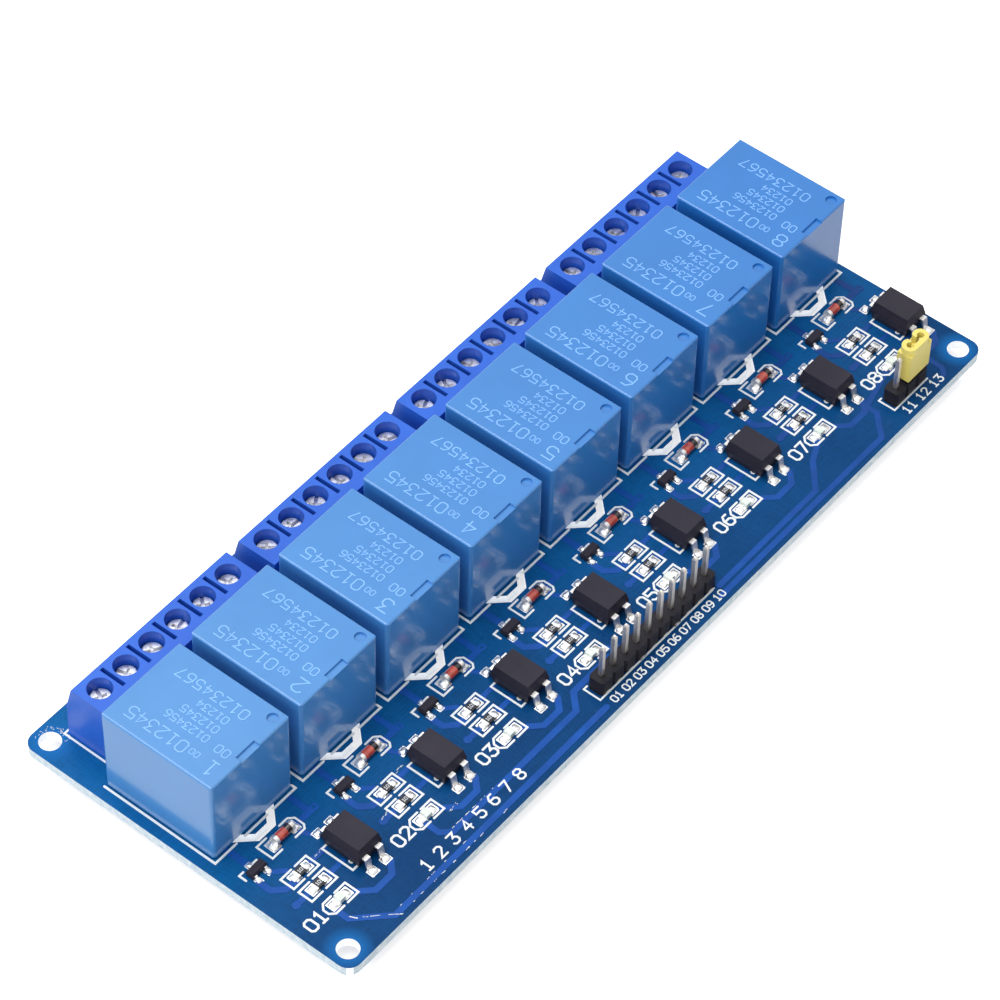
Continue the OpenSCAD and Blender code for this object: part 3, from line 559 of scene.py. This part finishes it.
def make_print_paint():
    """White ink with a slightly broken surface."""
    paint = Paint("white_print")
    tone = paint.noise(5.0, 3.0, 0.7)
    paint.colour(paint.ramp(tone, (0.28, (0.5, 0.62, 0.72)), (0.42, (0.86, 0.89, 0.9))))
    paint.rough(tone, 0.45, 0.7)
    paint.bump(tone, 0.01)
    return paint.material


def make_solder_paint():
    """Bright set solder with random grey patches."""
    grey_patch, bright, brightest = (0.5, 0.49, 0.48), (0.86, 0.86, 0.86), (0.95, 0.94, 0.93)
    paint = Paint("solder")
    tone = paint.noise(1.6, 4.0, 0.6)
    paint.colour(paint.ramp(tone, (0.28, grey_patch), (0.48, bright), (0.8, brightest)))
    paint.rough(paint.noise(1.5, 2.0), 0.2, 0.4)
    paint.bump(paint.noise(1.2, 2.0), 0.02)
    paint.set(metallic=0.85)
    return paint.material


def make_glass_paint():
    """The diode's orange-red glass."""
    paint = Paint("diode_glass")
    tone = paint.noise(0.8, 3.0, 0.6)
    paint.colour(paint.ramp(tone, (0.3, (0.36, 0.03, 0.018)), (0.65, (0.68, 0.1, 0.06))))
    paint.rough(tone, 0.05, 0.2)
    paint.bump(tone, 0.01)
    paint.set(coat_weight=1.0, coat_roughness=0.03)
    return paint.material


def make_light_paint():
    """The lights' clear resin over a pale green chip."""
    paint = Paint("light_resin")
    tone = paint.noise(1.5, 3.0, 0.6)
    paint.colour(paint.ramp(tone, (0.3, (0.66, 0.76, 0.66)), (0.7, (0.87, 0.91, 0.88))))
    paint.rough(tone, 0.08, 0.25)
    paint.bump(tone, 0.01, 0.05)
    paint.set(coat_weight=0.8, coat_roughness=0.05)
    return paint.material


def make_winding_paint():
    """Enamelled copper wire wound round the bobbin, in bands with painted shade between its turns.
    """
    turns = 1.6  # bands a millimetre
    paint = Paint("winding")
    wave = paint.node(
        "ShaderNodeTexWave", wave_type="BANDS", bands_direction="Z",
        scale=turns / MM, distortion=0.6,
    )
    paint.link(paint.place, wave.inputs["Vector"])
    band = wave.outputs["Fac"]
    # painted shade: each band darkens towards the groove between two turns
    paint.colour(paint.ramp(band, (0.1, (0.24, 0.07, 0.025)), (0.8, (0.7, 0.3, 0.12))))
    paint.rough(band, 0.2, 0.4)
    paint.bump(band, 0.05)
    paint.set(metallic=0.9)
    return paint.material


MASK = make_board_paint()
COPPER = make_copper_paint()
PRINT = make_print_paint()
SOLDER = make_solder_paint()
GLASS = make_glass_paint()
LIGHT = make_light_paint()
WINDING = make_winding_paint()
COVER = make_cover_paint()
BASE = moulded("relay_base_plastic", (0.012, 0.07, 0.36), (0.01, 0.055, 0.3), 0.35)
BOBBIN = moulded("bobbin_plastic", (0.82, 0.78, 0.64), (0.74, 0.7, 0.56), 0.4)
BLOCK = moulded(
    "terminal_plastic", (0.026, 0.14, 0.66), (0.02, 0.112, 0.57), 0.34,
    coat=0.08, speck=0.02, shine=0.35,
)
BLACK = moulded(
    "black_mould", (0.024, 0.02, 0.033), (0.015, 0.013, 0.023), 0.5,
    edge=0.07, speck=0.05, grain=0.01, shine=0.25,
)
HEADER = moulded(
    "header_plastic", (0.014, 0.013, 0.019), (0.008, 0.007, 0.012), 0.5,
    speck=0.04, grain=0.02, shine=0.22,
)
YELLOW = moulded(
    "jumper_plastic", (0.84, 0.73, 0.2), (0.78, 0.65, 0.14), 0.38,
    edge=0.08, coat=0.1, speck=0.05,
)
RESISTOR = moulded(
    "resistor_glaze", (0.03, 0.028, 0.034), (0.018, 0.017, 0.022), 0.35,
    edge=0.03, coat=0.2, shine=0.3,
)
BAND = moulded("diode_band", (0.02, 0.012, 0.014), (0.01, 0.006, 0.008), 0.15, edge=0.0, coat=0.8)
COVER_PRINT = moulded("print_on_cover", (0.24, 0.5, 0.92), (0.2, 0.45, 0.88), 0.35, edge=0.0)
TIN = plated("tinned_lead", (0.86, 0.84, 0.82), (0.66, 0.64, 0.62), 0.42, depth=0.004)
PIN = plated(
    "header_pin_metal", (0.8, 0.76, 0.71), (0.62, 0.58, 0.54), 0.38,
    scale=0.5, depth=0.001, stretch=(3, 3, 0.3),
)
STEEL = plated("plated_iron", (0.62, 0.62, 0.64), (0.42, 0.42, 0.44), 0.35)
SCREW = plated(
    "screw_nickel", (0.82, 0.82, 0.84), (0.5, 0.51, 0.54), 0.34, scale=0.9, depth=0.006
)
BRONZE = plated("spring_bronze", (0.8, 0.52, 0.26), (0.6, 0.36, 0.16), 0.3)


def numbered(stem, count):
    """The names of nodes that are numbered from 1."""
    return [f"{stem}_{n}" for n in range(1, count + 1)]


NODE_PAINTS = {
    name: paint
    for paint, names in (
        (MASK, ["circuit_board"]),
        (COVER, numbered("relay_cover", CHANNELS)),
        (BASE, ["relay_bases"]),
        (BOBBIN, ["relay_bobbins"]),
        (WINDING, ["relay_coils"]),
        (STEEL, ["relay_yokes", "relay_cores", "wire_guards", *numbered("armature", CHANNELS)]),
        (BRONZE, ["open_contacts", "closed_contacts", "jumper_clip"]),
        (TIN, ["common_terminals", "coil_terminals", "terminal_cages", "terminal_pins"]),
        (TIN, ["optocoupler_leads", "transistor_leads", "diode_caps"]),
        (SCREW, ["terminal_screws"]),
        (BLOCK, numbered("terminal_block", BLOCKS)),
        (BLACK, ["transistors", *numbered("optocoupler", CHANNELS)]),
        (GLASS, ["diode_glasses"]),
        (RESISTOR, ["resistors"]),
        (LIGHT, ["indicator_lights"]),
        (SOLDER, ["resistor_ends", "indicator_ends", "solder_joints"]),
        (HEADER, ["input_header", "power_header"]),
        (PIN, ["input_pins", "power_pins"]),
        (YELLOW, ["jumper_cap"]),
    )
    for name in names
}


def dress_nodes():
    """Gives each CAD node its material."""
    for name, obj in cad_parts.items():
        obj.data.materials.clear()
        obj.data.materials.append(NODE_PAINTS[name])


# ---- copper, pads and solder ----

# the traces of one channel: a width, then points, with x from the middle of its relay
CHANNEL_TRACES = (
    (1.1, (-5.5, -2.2), (-5.5, -7.4)),
    (1.0, (6.2, -4.4), (6.2, -8.0), (3.8, -8.0)),
    (0.8, (2.9, -9.3), (3.7, -11.0)),
    (1.0, (-6.7, -10.5), (-6.7, -12.4), (-5.3, -13.8), (-3.9, -13.9)),
    (0.8, (-4.7, -10.3), (-3.0, -11.9)),
    (0.8, (0.2, -13.4), (2.9, -13.4)),
    (0.8, (0.2, -16.5), (2.9, -16.5)),
    (0.9, (-4.0, -16.5), (-6.3, -16.5)),
    (0.95, (0.3, -21.0), (2.1, -22.8), (5.4, -22.8), (7.0, -21.2)),
)
# the rings of one channel: x from the middle of its relay, y and outer radius
CHANNEL_RINGS = ((-6.3, -16.5, 0.62), (7.1, -8.0, 0.6))
RING_HOLE_R = 0.25
RING_RISE = 0.01


def lay_copper():
    """The wide traces of the top face; those of one channel repeat in each."""
    copper = Shape()

    def trace(width, *path):
        copper.stroke(path, width, COPPER_LOW, COPPER_HIGH, COPPER_ENDS)

    for cx in RELAY_X:
        for width, *path in CHANNEL_TRACES:
            trace(width, *((cx + x, y) for x, y in path))
        for x, y, r in CHANNEL_RINGS:
            copper.ring(cx + x, y, RING_HOLE_R, r, COPPER_LOW, COPPER_HIGH + RING_RISE)
    first, second, seventh, last = (RELAY_X[i] for i in (0, 1, 6, 7))
    trace(0.95, (first - 3.6, -21.0), (first - 3.6, -23.0), (first + 0.7, -27.3), (-15.9, -27.3))
    trace(0.95, (second - 3.0, -21.0), (second - 3.0, -23.3), (second - 1.7, -24.6),
          (-19.1, -24.6), (-16.8, -22.3), (-9.0, -22.3))
    trace(0.9, (10.6, -26.2), (33.0, -26.2), (37.2, -22.6), (seventh - 3.4, -21.0))
    trace(0.9, (9.4, -27.5), (47.0, -27.5), (50.4, -24.2), (50.4, -22.4), (last - 3.6, -20.6))
    trace(0.8, (62.6, -27.3), (63.6, -26.2), (63.6, -20.4), (65.2, -18.8))
    copper.piece("top_copper", COPPER, slot="board_blue")


# between a chip's two ends, and between a diode's two caps, from the middle of the relay
CHIP_MIDDLE = -2.0
DIODE_MIDDLE = 0.5
# between a transistor's front and rear leads, from the tips of the front ones
TRANSISTOR_MIDDLE = 1.3
# the drop at a lead: its share of the pad, and its height
LEAD_DROP_SHARE = 0.86
LEAD_DROP_H = 0.42


def lay_pads_and_solder():
    """Solder-coated pads on the top face, with a drop of solder at each lead or end."""
    pads, drops = Shape(), Shape()
    seeds = itertools.count(1)

    def pad(x, y, half_w, half_l, corner=0.12):
        outline = rect(x - half_w, y - half_l, x + half_w, y + half_l, corner)
        pads.prism(outline, PAD_LOW, PAD_HIGH)

    def drop(x, y, half_w, half_l, height, lean, lumpy=0.06):
        blob(drops, x, y, PAD_HIGH, half_w, half_l, height, next(seeds), lean, lumpy)

    def outward(x, centre):
        """Which way x lies from a place given from the middle of the nearest relay."""
        cx = min(RELAY_X, key=lambda relay: abs(relay - x))
        return -1 if x < cx + centre else 1

    # half the width and length of a pad, how far it reaches outward, and the drop's height
    for node, half_w, half_l, reach, rise in (
        ("resistor_ends", 0.75, 0.8, 0.35, 0.32), ("indicator_ends", 0.8, 0.8, 0.4, 0.3)
    ):
        for end in middles(node):
            side = outward(end.x, CHIP_MIDDLE)
            x = end.x + side * reach
            pad(x, end.y, half_w, half_l, 0.1)
            drop(x + side * 0.12, end.y, 0.5, 0.62, rise, (-side * 0.2, 0))
    for end in middles("diode_caps"):
        side = outward(end.x, DIODE_MIDDLE)
        x = end.x + side * 0.45
        pad(x, end.y, 0.8, 0.95)
        drop(x + side * 0.15, end.y - 0.2, 0.6, 0.75, 0.5, (-side * 0.2, 0.1))
    for node, half_w, half_l in (("transistor_leads", 0.5, 0.6), ("optocoupler_leads", 0.75, 0.65)):
        rows = solids(node)
        if node == "transistor_leads":  # two leads in front and one behind
            centre = min(row[0].y for row in rows) + TRANSISTOR_MIDDLE
        else:
            centre = sum(middle(row).y for row in rows) / len(rows)
        for row in rows:
            side = -1 if middle(row).y < centre else 1
            tip = row[0].y if side < 0 else row[1].y
            x, y = middle(row).x, tip - side * 0.15
            pad(x, y, half_w, half_l)
            wide, long = half_w * LEAD_DROP_SHARE, half_l * LEAD_DROP_SHARE
            drop(x, y, wide, long, LEAD_DROP_H, (0, -side * 0.15), lumpy=0.1)
    pads.piece("top_pads", SOLDER, slot="solder")
    drops.piece("solder_drops", SOLDER, slot="solder", smooth=True)


# ---- white print ----

FRAME_W = 0.34
LINE_W = 0.3


def bracket(opening, back, rear, depth):
    """Three sides of a frame, with its back and its opening at those two x."""
    front = rear - depth
    return LINE_W, (opening, rear), (back, rear), (back, front), (opening, front)


# the lines of one channel: a width, then points, with x from the middle of its relay
CHANNEL_LINES = (
    # round the relay, broken where the isolation slot crosses
    (FRAME_W, (-8.1, 15.4), (-8.1, -4.1), (-3.9, -4.1)),
    (FRAME_W, (-2.3, -4.1), (2.2, -4.1)),
    (FRAME_W, (3.5, -4.1), (7.85, -4.1), (7.85, -3.4)),
    # round the diode
    bracket(-0.8, -2.7, -6.5, 2.8),
    (LINE_W, (1.8, -6.5), (3.4, -6.5), (4.1, -7.2), (4.1, -8.8), (3.6, -9.35), (1.8, -9.35)),
    # behind the transistor
    (LINE_W, (-6.8, -7.8), (-7.6, -7.8), (-7.6, -9.0)),
    (LINE_W, (-5.1, -7.8), (-4.2, -7.8)),
    # round the two resistors
    bracket(-2.5, -4.6, -12.3, 2.3),
    bracket(-1.8, 0.4, -12.3, 2.3),
    bracket(-2.5, -4.6, -15.4, 2.3),
    bracket(-1.8, 0.4, -15.4, 2.3),
    # round the light
    bracket(-1.7, 0.4, -19.0, 2.3),
    (LINE_W, (-2.4, -19.0), (-4.0, -19.0), (-4.7, -19.7), (-4.7, -20.6), (-4.0, -21.3),
     (-2.4, -21.3)),
    # at the left of the optocoupler
    bracket(3.8, 2.6, -13.2, 5.3),
)


def print_board():
    """The outlines of the parts, and plain numbers beside channels, headers and front edge."""
    ink = Shape()

    def line(path, width):
        ink.stroke(path, width, PRINT_LOW, PRINT_HIGH, PRINT_ENDS)

    def number(text, x, y, height, weight, step=1.5):
        write_number(ink, text, x, y, height, weight, PRINT_LOW, PRINT_HIGH, step=step)

    def header_line(low, high, left, front, right):
        """Along the left and front of a header."""
        line([(low.x + 0.1, -23.1), (low.x - left, -23.1), (low.x - left, front),
              (high.x - right, front)], 0.26)

    for n, cx in enumerate(RELAY_X, 1):
        for width, *path in CHANNEL_LINES:
            line([(cx + x, y) for x, y in path], width)
        line(arc(cx + 3.6, -17.4, 0.3, 40, 320), 0.22)  # the optocoupler's first pin
        number(f"{n:02d}", cx - 8.15, -21.0, 1.9, 0.32, step=1.4)
    for i in range(CHANNELS):
        number(str(i + 1), -52.0 + i * 2.75, -26.2, 1.7, 0.27)
    low, high = box_mm("input_header")
    header_line(low, high, 0.6, -25.95, 1.0)
    pitch = (high.x - low.x) / INPUT_PINS
    for i in range(INPUT_PINS):
        x = low.x + pitch * (i + 0.5)
        notch = [(x - 0.6, -25.95), (x, -25.75), (x + 0.6, -25.95)]
        ink.stroke(notch, 0.2, PRINT_LOW, PRINT_HIGH, FINE_ENDS)
        number(f"{i + 1:02d}", x - 0.82, -27.8, 1.1, 0.19, step=1.4)
    low, high = box_mm("power_header")
    header_line(low, high, 0.5, -25.9, 0.1)
    for i in range(POWER_PINS):
        number(f"{i + 1 + INPUT_PINS}", low.x + 0.3 + 3.3 * i, -27.8, 1.3, 0.21)
    for name in numbered("terminal_block", BLOCKS):
        low, high = box_mm(name)
        left, right = low.x - 0.4, high.x + 0.4
        rear, front = high.y + 0.4, low.y - 1.0
        line([(left, front), (left, rear), (right, rear), (right, front)], LINE_W)
    ink.piece("white_outlines", PRINT, slot="board_blue")


# the rows on a cover after its own number: text, place from the front left corner, height of
# the digits, width of their lines and step
COVER_ROWS = (
    ("00", 3.5, 4.8, 0.9, 0.13, 1.4),
    ("012345", 3.8, 6.9, 1.9, 0.19, 1.35),
    ("00", 6.2, 1.9, 1.3, 0.16, 1.4),
    ("0123456", 6.3, 5.6, 1.15, 0.15, 1.4),
    ("012345", 8.2, 5.6, 1.15, 0.15, 1.4),
    ("01234", 10.1, 5.6, 1.15, 0.15, 1.4),
    ("01234567", 12.6, 4.2, 1.6, 0.18, 1.45),
)
COVER_PRINT_T = 0.03


def mark_relays():
    """Raised rows of plain digits on each cover, in the sizes and places of moulded print."""
    low, high = RELAY_TOP - SINK, RELAY_TOP + COVER_PRINT_T
    for n, (corner, _) in enumerate(RELAYS, 1):
        raised = Shape()
        for text, x, y, height, weight, step in ((str(n), 3.7, 1.6, 2.3, 0.22, 1.4), *COVER_ROWS):
            place = corner.x + x, corner.y + y
            write_number(raised, text, *place, height, weight, low, high, 90, step)
        raised.piece(f"cover_numbers_{n}", COVER_PRINT, slot="relay_blue")


def band_diodes():
    """The cathode band painted round the right-hand end of each diode's glass."""
    length, thick, steps = 0.8, 0.02, 20
    bands = Shape()
    turns = [2 * math.pi * i / steps for i in range(steps)]
    for low, high in solids("diode_glasses"):
        centre = (low + high) / 2
        radius = (high.z - low.z) / 2 + thick
        bands.loft([
            [(x, centre.y + radius * math.cos(t), centre.z + radius * math.sin(t)) for t in turns]
            for x in (high.x - length, high.x - thick)
        ])
    bands.piece("diode_bands", BAND, slot="black_plastic")


def number_resistors():
    """A plain number on each resistor."""
    thick = 0.015
    ink = Shape()
    for low, high in solids("resistors"):
        centre = (low + high) / 2
        place = centre.x - 0.42, centre.y - 0.24
        write_number(ink, "101", *place, 0.48, 0.07, high.z - SINK, high.z + thick, step=1.3)
    ink.piece("resistor_numbers", PRINT, slot="resistor_body")


# painted highlights: glints along lines on the board: points, how many, their width and how far
# they stray
PAINTED_GLINTS = (
    ([(-64.1, -22.9), (-63.8, -23.5), (-59.5, -27.75), (-38.0, -27.75)], 52, 0.09, 0.05),
    ([(-46.0, -24.15), (-36.0, -24.15)], 14, 0.08, 0.05),
    ([(-59.5, -26.85), (-45.0, -26.85)], 10, 0.07, 0.05),
    *(
        ([(x - 0.8, y), (x + 0.8, y + 0.2)], 6, 0.08, 0.15)
        for x, y in ((-59.0, -13.3), (-42.0, -12.7), (-42.0, -22.2), (-49.0, -16.1))
    ),
)
HOLE_SCUFFS = 34
GLINT_AND_SCUFF_SEED = 11


def scratch_board():
    """Painted highlights along the edges of some front traces, and bright scuffs round the rear
    left hole.
    """
    marks = Shape()
    dice = random.Random(GLINT_AND_SCUFF_SEED)
    low, high = COPPER_LOW, COPPER_HIGH + 0.03
    # painted highlights: short bright glints along the trace edges
    for path, count, width, stray in PAINTED_GLINTS:
        for _ in range(count):
            k = dice.randrange(len(path) - 1)
            a, b = Vector(path[k]), Vector(path[k + 1])
            start = a.lerp(b, dice.random())
            way = (b - a).normalized()
            side = Vector((-way.y, way.x)) * dice.uniform(-stray, stray)
            reach = way * dice.uniform(0.08, 0.55)
            line = [start + side, start + side + reach]
            marks.stroke(line, width * dice.uniform(0.45, 1.0), low, high, FINE_ENDS)
    for _ in range(HOLE_SCUFFS):
        turn = dice.uniform(math.radians(-60), math.radians(120))
        r = dice.uniform(HOLE_R + 0.15, HOLE_R + 1.1)
        x, y = -HOLE_X + r * math.cos(turn), HOLE_Y + r * math.sin(turn)
        if y > BOARD_HIGH.y - 0.3:
            continue
        tilt = turn + dice.uniform(0.9, 2.0)
        reach = dice.uniform(0.05, 0.3)
        line = [(x, y), (x + reach * math.cos(tilt), y + reach * math.sin(tilt))]
        marks.stroke(line, 0.05, low, high, FINE_ENDS)
    marks.piece("board_glints_and_scuffs", PRINT, slot="board_blue")


def lay_underside():
    """Plain copper on the hidden face: wide contact tracks, thin coil tracks, a pad a joint."""
    contact_w, coil_w = 2.0, 0.9
    pad_margin = 0.22
    pad_limit = 1.12  # the radius that keeps the pads of a header apart
    pad_steps = 24
    level = 0.002  # tracks that may cross lie this much apart
    tracks, pads = Shape(), Shape()
    low, high = UNDER - COPPER_T, UNDER + SINK
    terminals = sorted(middles("terminal_pins"), key=lambda p: p.x)
    contacts = sorted(
        middles("open_contacts", "common_terminals", "closed_contacts"), key=lambda p: p.x
    )
    for k, (start, end) in enumerate(zip(contacts, terminals)):
        bend = (end.x, min(start.y + abs(end.x - start.x) + 1.0, end.y - 0.5))
        outline = stroke_outline([(start.x, start.y), bend, (end.x, end.y)], contact_w, TRACK_ENDS)
        tracks.prism(outline, low - level * (k % 3), high)
    for pin in middles("coil_terminals"):
        path = [(pin.x, pin.y), (pin.x, pin.y - 3.0), (pin.x + 1.2, pin.y - 4.2)]
        tracks.prism(stroke_outline(path, coil_w, TRACK_ENDS), low, high)
    for joint_low, joint_high in solids("solder_joints"):
        centre = (joint_low + joint_high) / 2
        width = max(joint_high.x - joint_low.x, joint_high.y - joint_low.y)
        radius = min(width / 2 + pad_margin, pad_limit)
        outline = arc(centre.x, centre.y, radius, 0, 360, pad_steps)[:-1]
        pads.prism(outline, UNDER - PAD_T - 0.01, high)
    tracks.piece("under_copper", COPPER, slot="board_blue")
    pads.piece("under_pads", SOLDER, slot="solder")


# ---- camera, light and stage ----


def set_camera():
    """The photograph's viewing angle: a long lens from the front left, well above the board."""
    lens = bpy.data.cameras.new("camera")
    lens.sensor_width = 36
    lens.lens = 154.11
    lens.shift_x = -0.0004
    lens.shift_y = 0.0026
    lens.clip_start = 0.01
    lens.clip_end = 20
    camera = bpy.data.objects.new("camera", lens)
    camera.location = Vector((-303.46, -230.93, 459.18)) * MM
    camera.rotation_euler = Euler((0.7046, -0.0192, -0.8892))
    bpy.context.scene.collection.objects.link(camera)
    bpy.context.scene.camera = camera


def area_light(name, place, size, power):
    """A soft lamp at a place in metres, turned to the middle of the board."""
    lamp = bpy.data.lights.new(name, "AREA")
    lamp.shape = "RECTANGLE"
    lamp.size, lamp.size_y = size
    lamp.energy = power
    obj = bpy.data.objects.new(name, lamp)
    obj.location = place
    obj.rotation_euler = (-Vector(place)).to_track_quat("-Z", "Y").to_euler()
    bpy.context.scene.collection.objects.link(obj)


def greatest(tree, *sources):
    """The greatest of some numbers."""
    result = sources[0]
    for source in sources[1:]:
        made = tree.nodes.new("ShaderNodeMath")
        made.operation = "MAXIMUM"
        tree.links.new(result, made.inputs[0])
        tree.links.new(source, made.inputs[1])
        result = made.outputs[0]
    return result


def set_light():
    """A white studio: even light from all round, a broad lamp overhead and one at the left."""
    ambient, background_white = 0.5, 1.0
    world = bpy.data.worlds.new("studio")
    bpy.context.scene.world = world
    world.use_nodes = True
    tree = world.node_tree
    background = tree.nodes["Background"]
    path = tree.nodes.new("ShaderNodeLightPath").outputs
    rays = [path[f"Is {kind} Ray"] for kind in ("Camera", "Glossy", "Transmission")]
    strength = tree.nodes.new("ShaderNodeMapRange")
    strength.inputs["To Min"].default_value = ambient
    strength.inputs["To Max"].default_value = background_white
    tree.links.new(greatest(tree, *rays), strength.inputs["Value"])
    tree.links.new(strength.outputs["Result"], background.inputs["Strength"])
    background.inputs["Color"].default_value = (1, 1, 1, 1)
    area_light("overhead", (-0.1, 0.25, 0.9), (0.9, 0.7), 7.5)
    area_light("left_fill", (-0.8, -0.1, 0.45), (0.6, 0.5), 2.0)


def set_stage():
    """A white floor that keeps a faint shadow, and that metal and glass see as plain white."""
    half, drop = 3.0, 0.0002  # in metres
    glow_strength = 0.66  # added where the camera sees the floor, to make it white
    mesh = bpy.data.meshes.new("floor")
    corners = [(-half, -half, 0), (half, -half, 0), (half, half, 0), (-half, half, 0)]
    mesh.from_pydata(corners, [], [[0, 1, 2, 3]])
    floor = bpy.data.objects.new("floor", mesh)
    floor.location.z = -drop
    bpy.context.scene.collection.objects.link(floor)
    paint = Paint("floor")
    tree = paint.tree
    paint.colour(paint.ramp(paint.noise(0.02, 2.0), (0.0, grey(0.78)), (1.0, grey(0.82))))
    paint.set(roughness=1.0, specular_ior_level=0.0)
    matt = paint.shader.outputs[0]
    glow = paint.node("ShaderNodeEmission", strength=glow_strength)
    white = paint.node("ShaderNodeEmission")
    both = paint.node("ShaderNodeAddShader")
    paint.link(matt, both.inputs[0])
    paint.link(glow.outputs[0], both.inputs[1])

    def choose(factor, a, b):
        made = paint.node("ShaderNodeMixShader")
        for socket, source in zip(made.inputs, (factor, a, b)):
            paint.link(source, socket)
        return made.outputs[0]

    path = paint.node("ShaderNodeLightPath").outputs
    seen = choose(path["Is Camera Ray"], matt, both.outputs[0])
    mirrored = greatest(tree, path["Is Glossy Ray"], path["Is Transmission Ray"])
    final = choose(mirrored, seen, white.outputs[0])
    paint.link(final, tree.nodes["Material Output"].inputs["Surface"])
    mesh.materials.append(paint.material)


# ---- making ----

set_camera()
set_light()
set_stage()
dress_nodes()
lay_copper()
lay_pads_and_solder()
print_board()
mark_relays()
band_diodes()
number_resistors()
scratch_board()
lay_underside()

bpy.context.scene.view_settings.view_transform = "Standard"
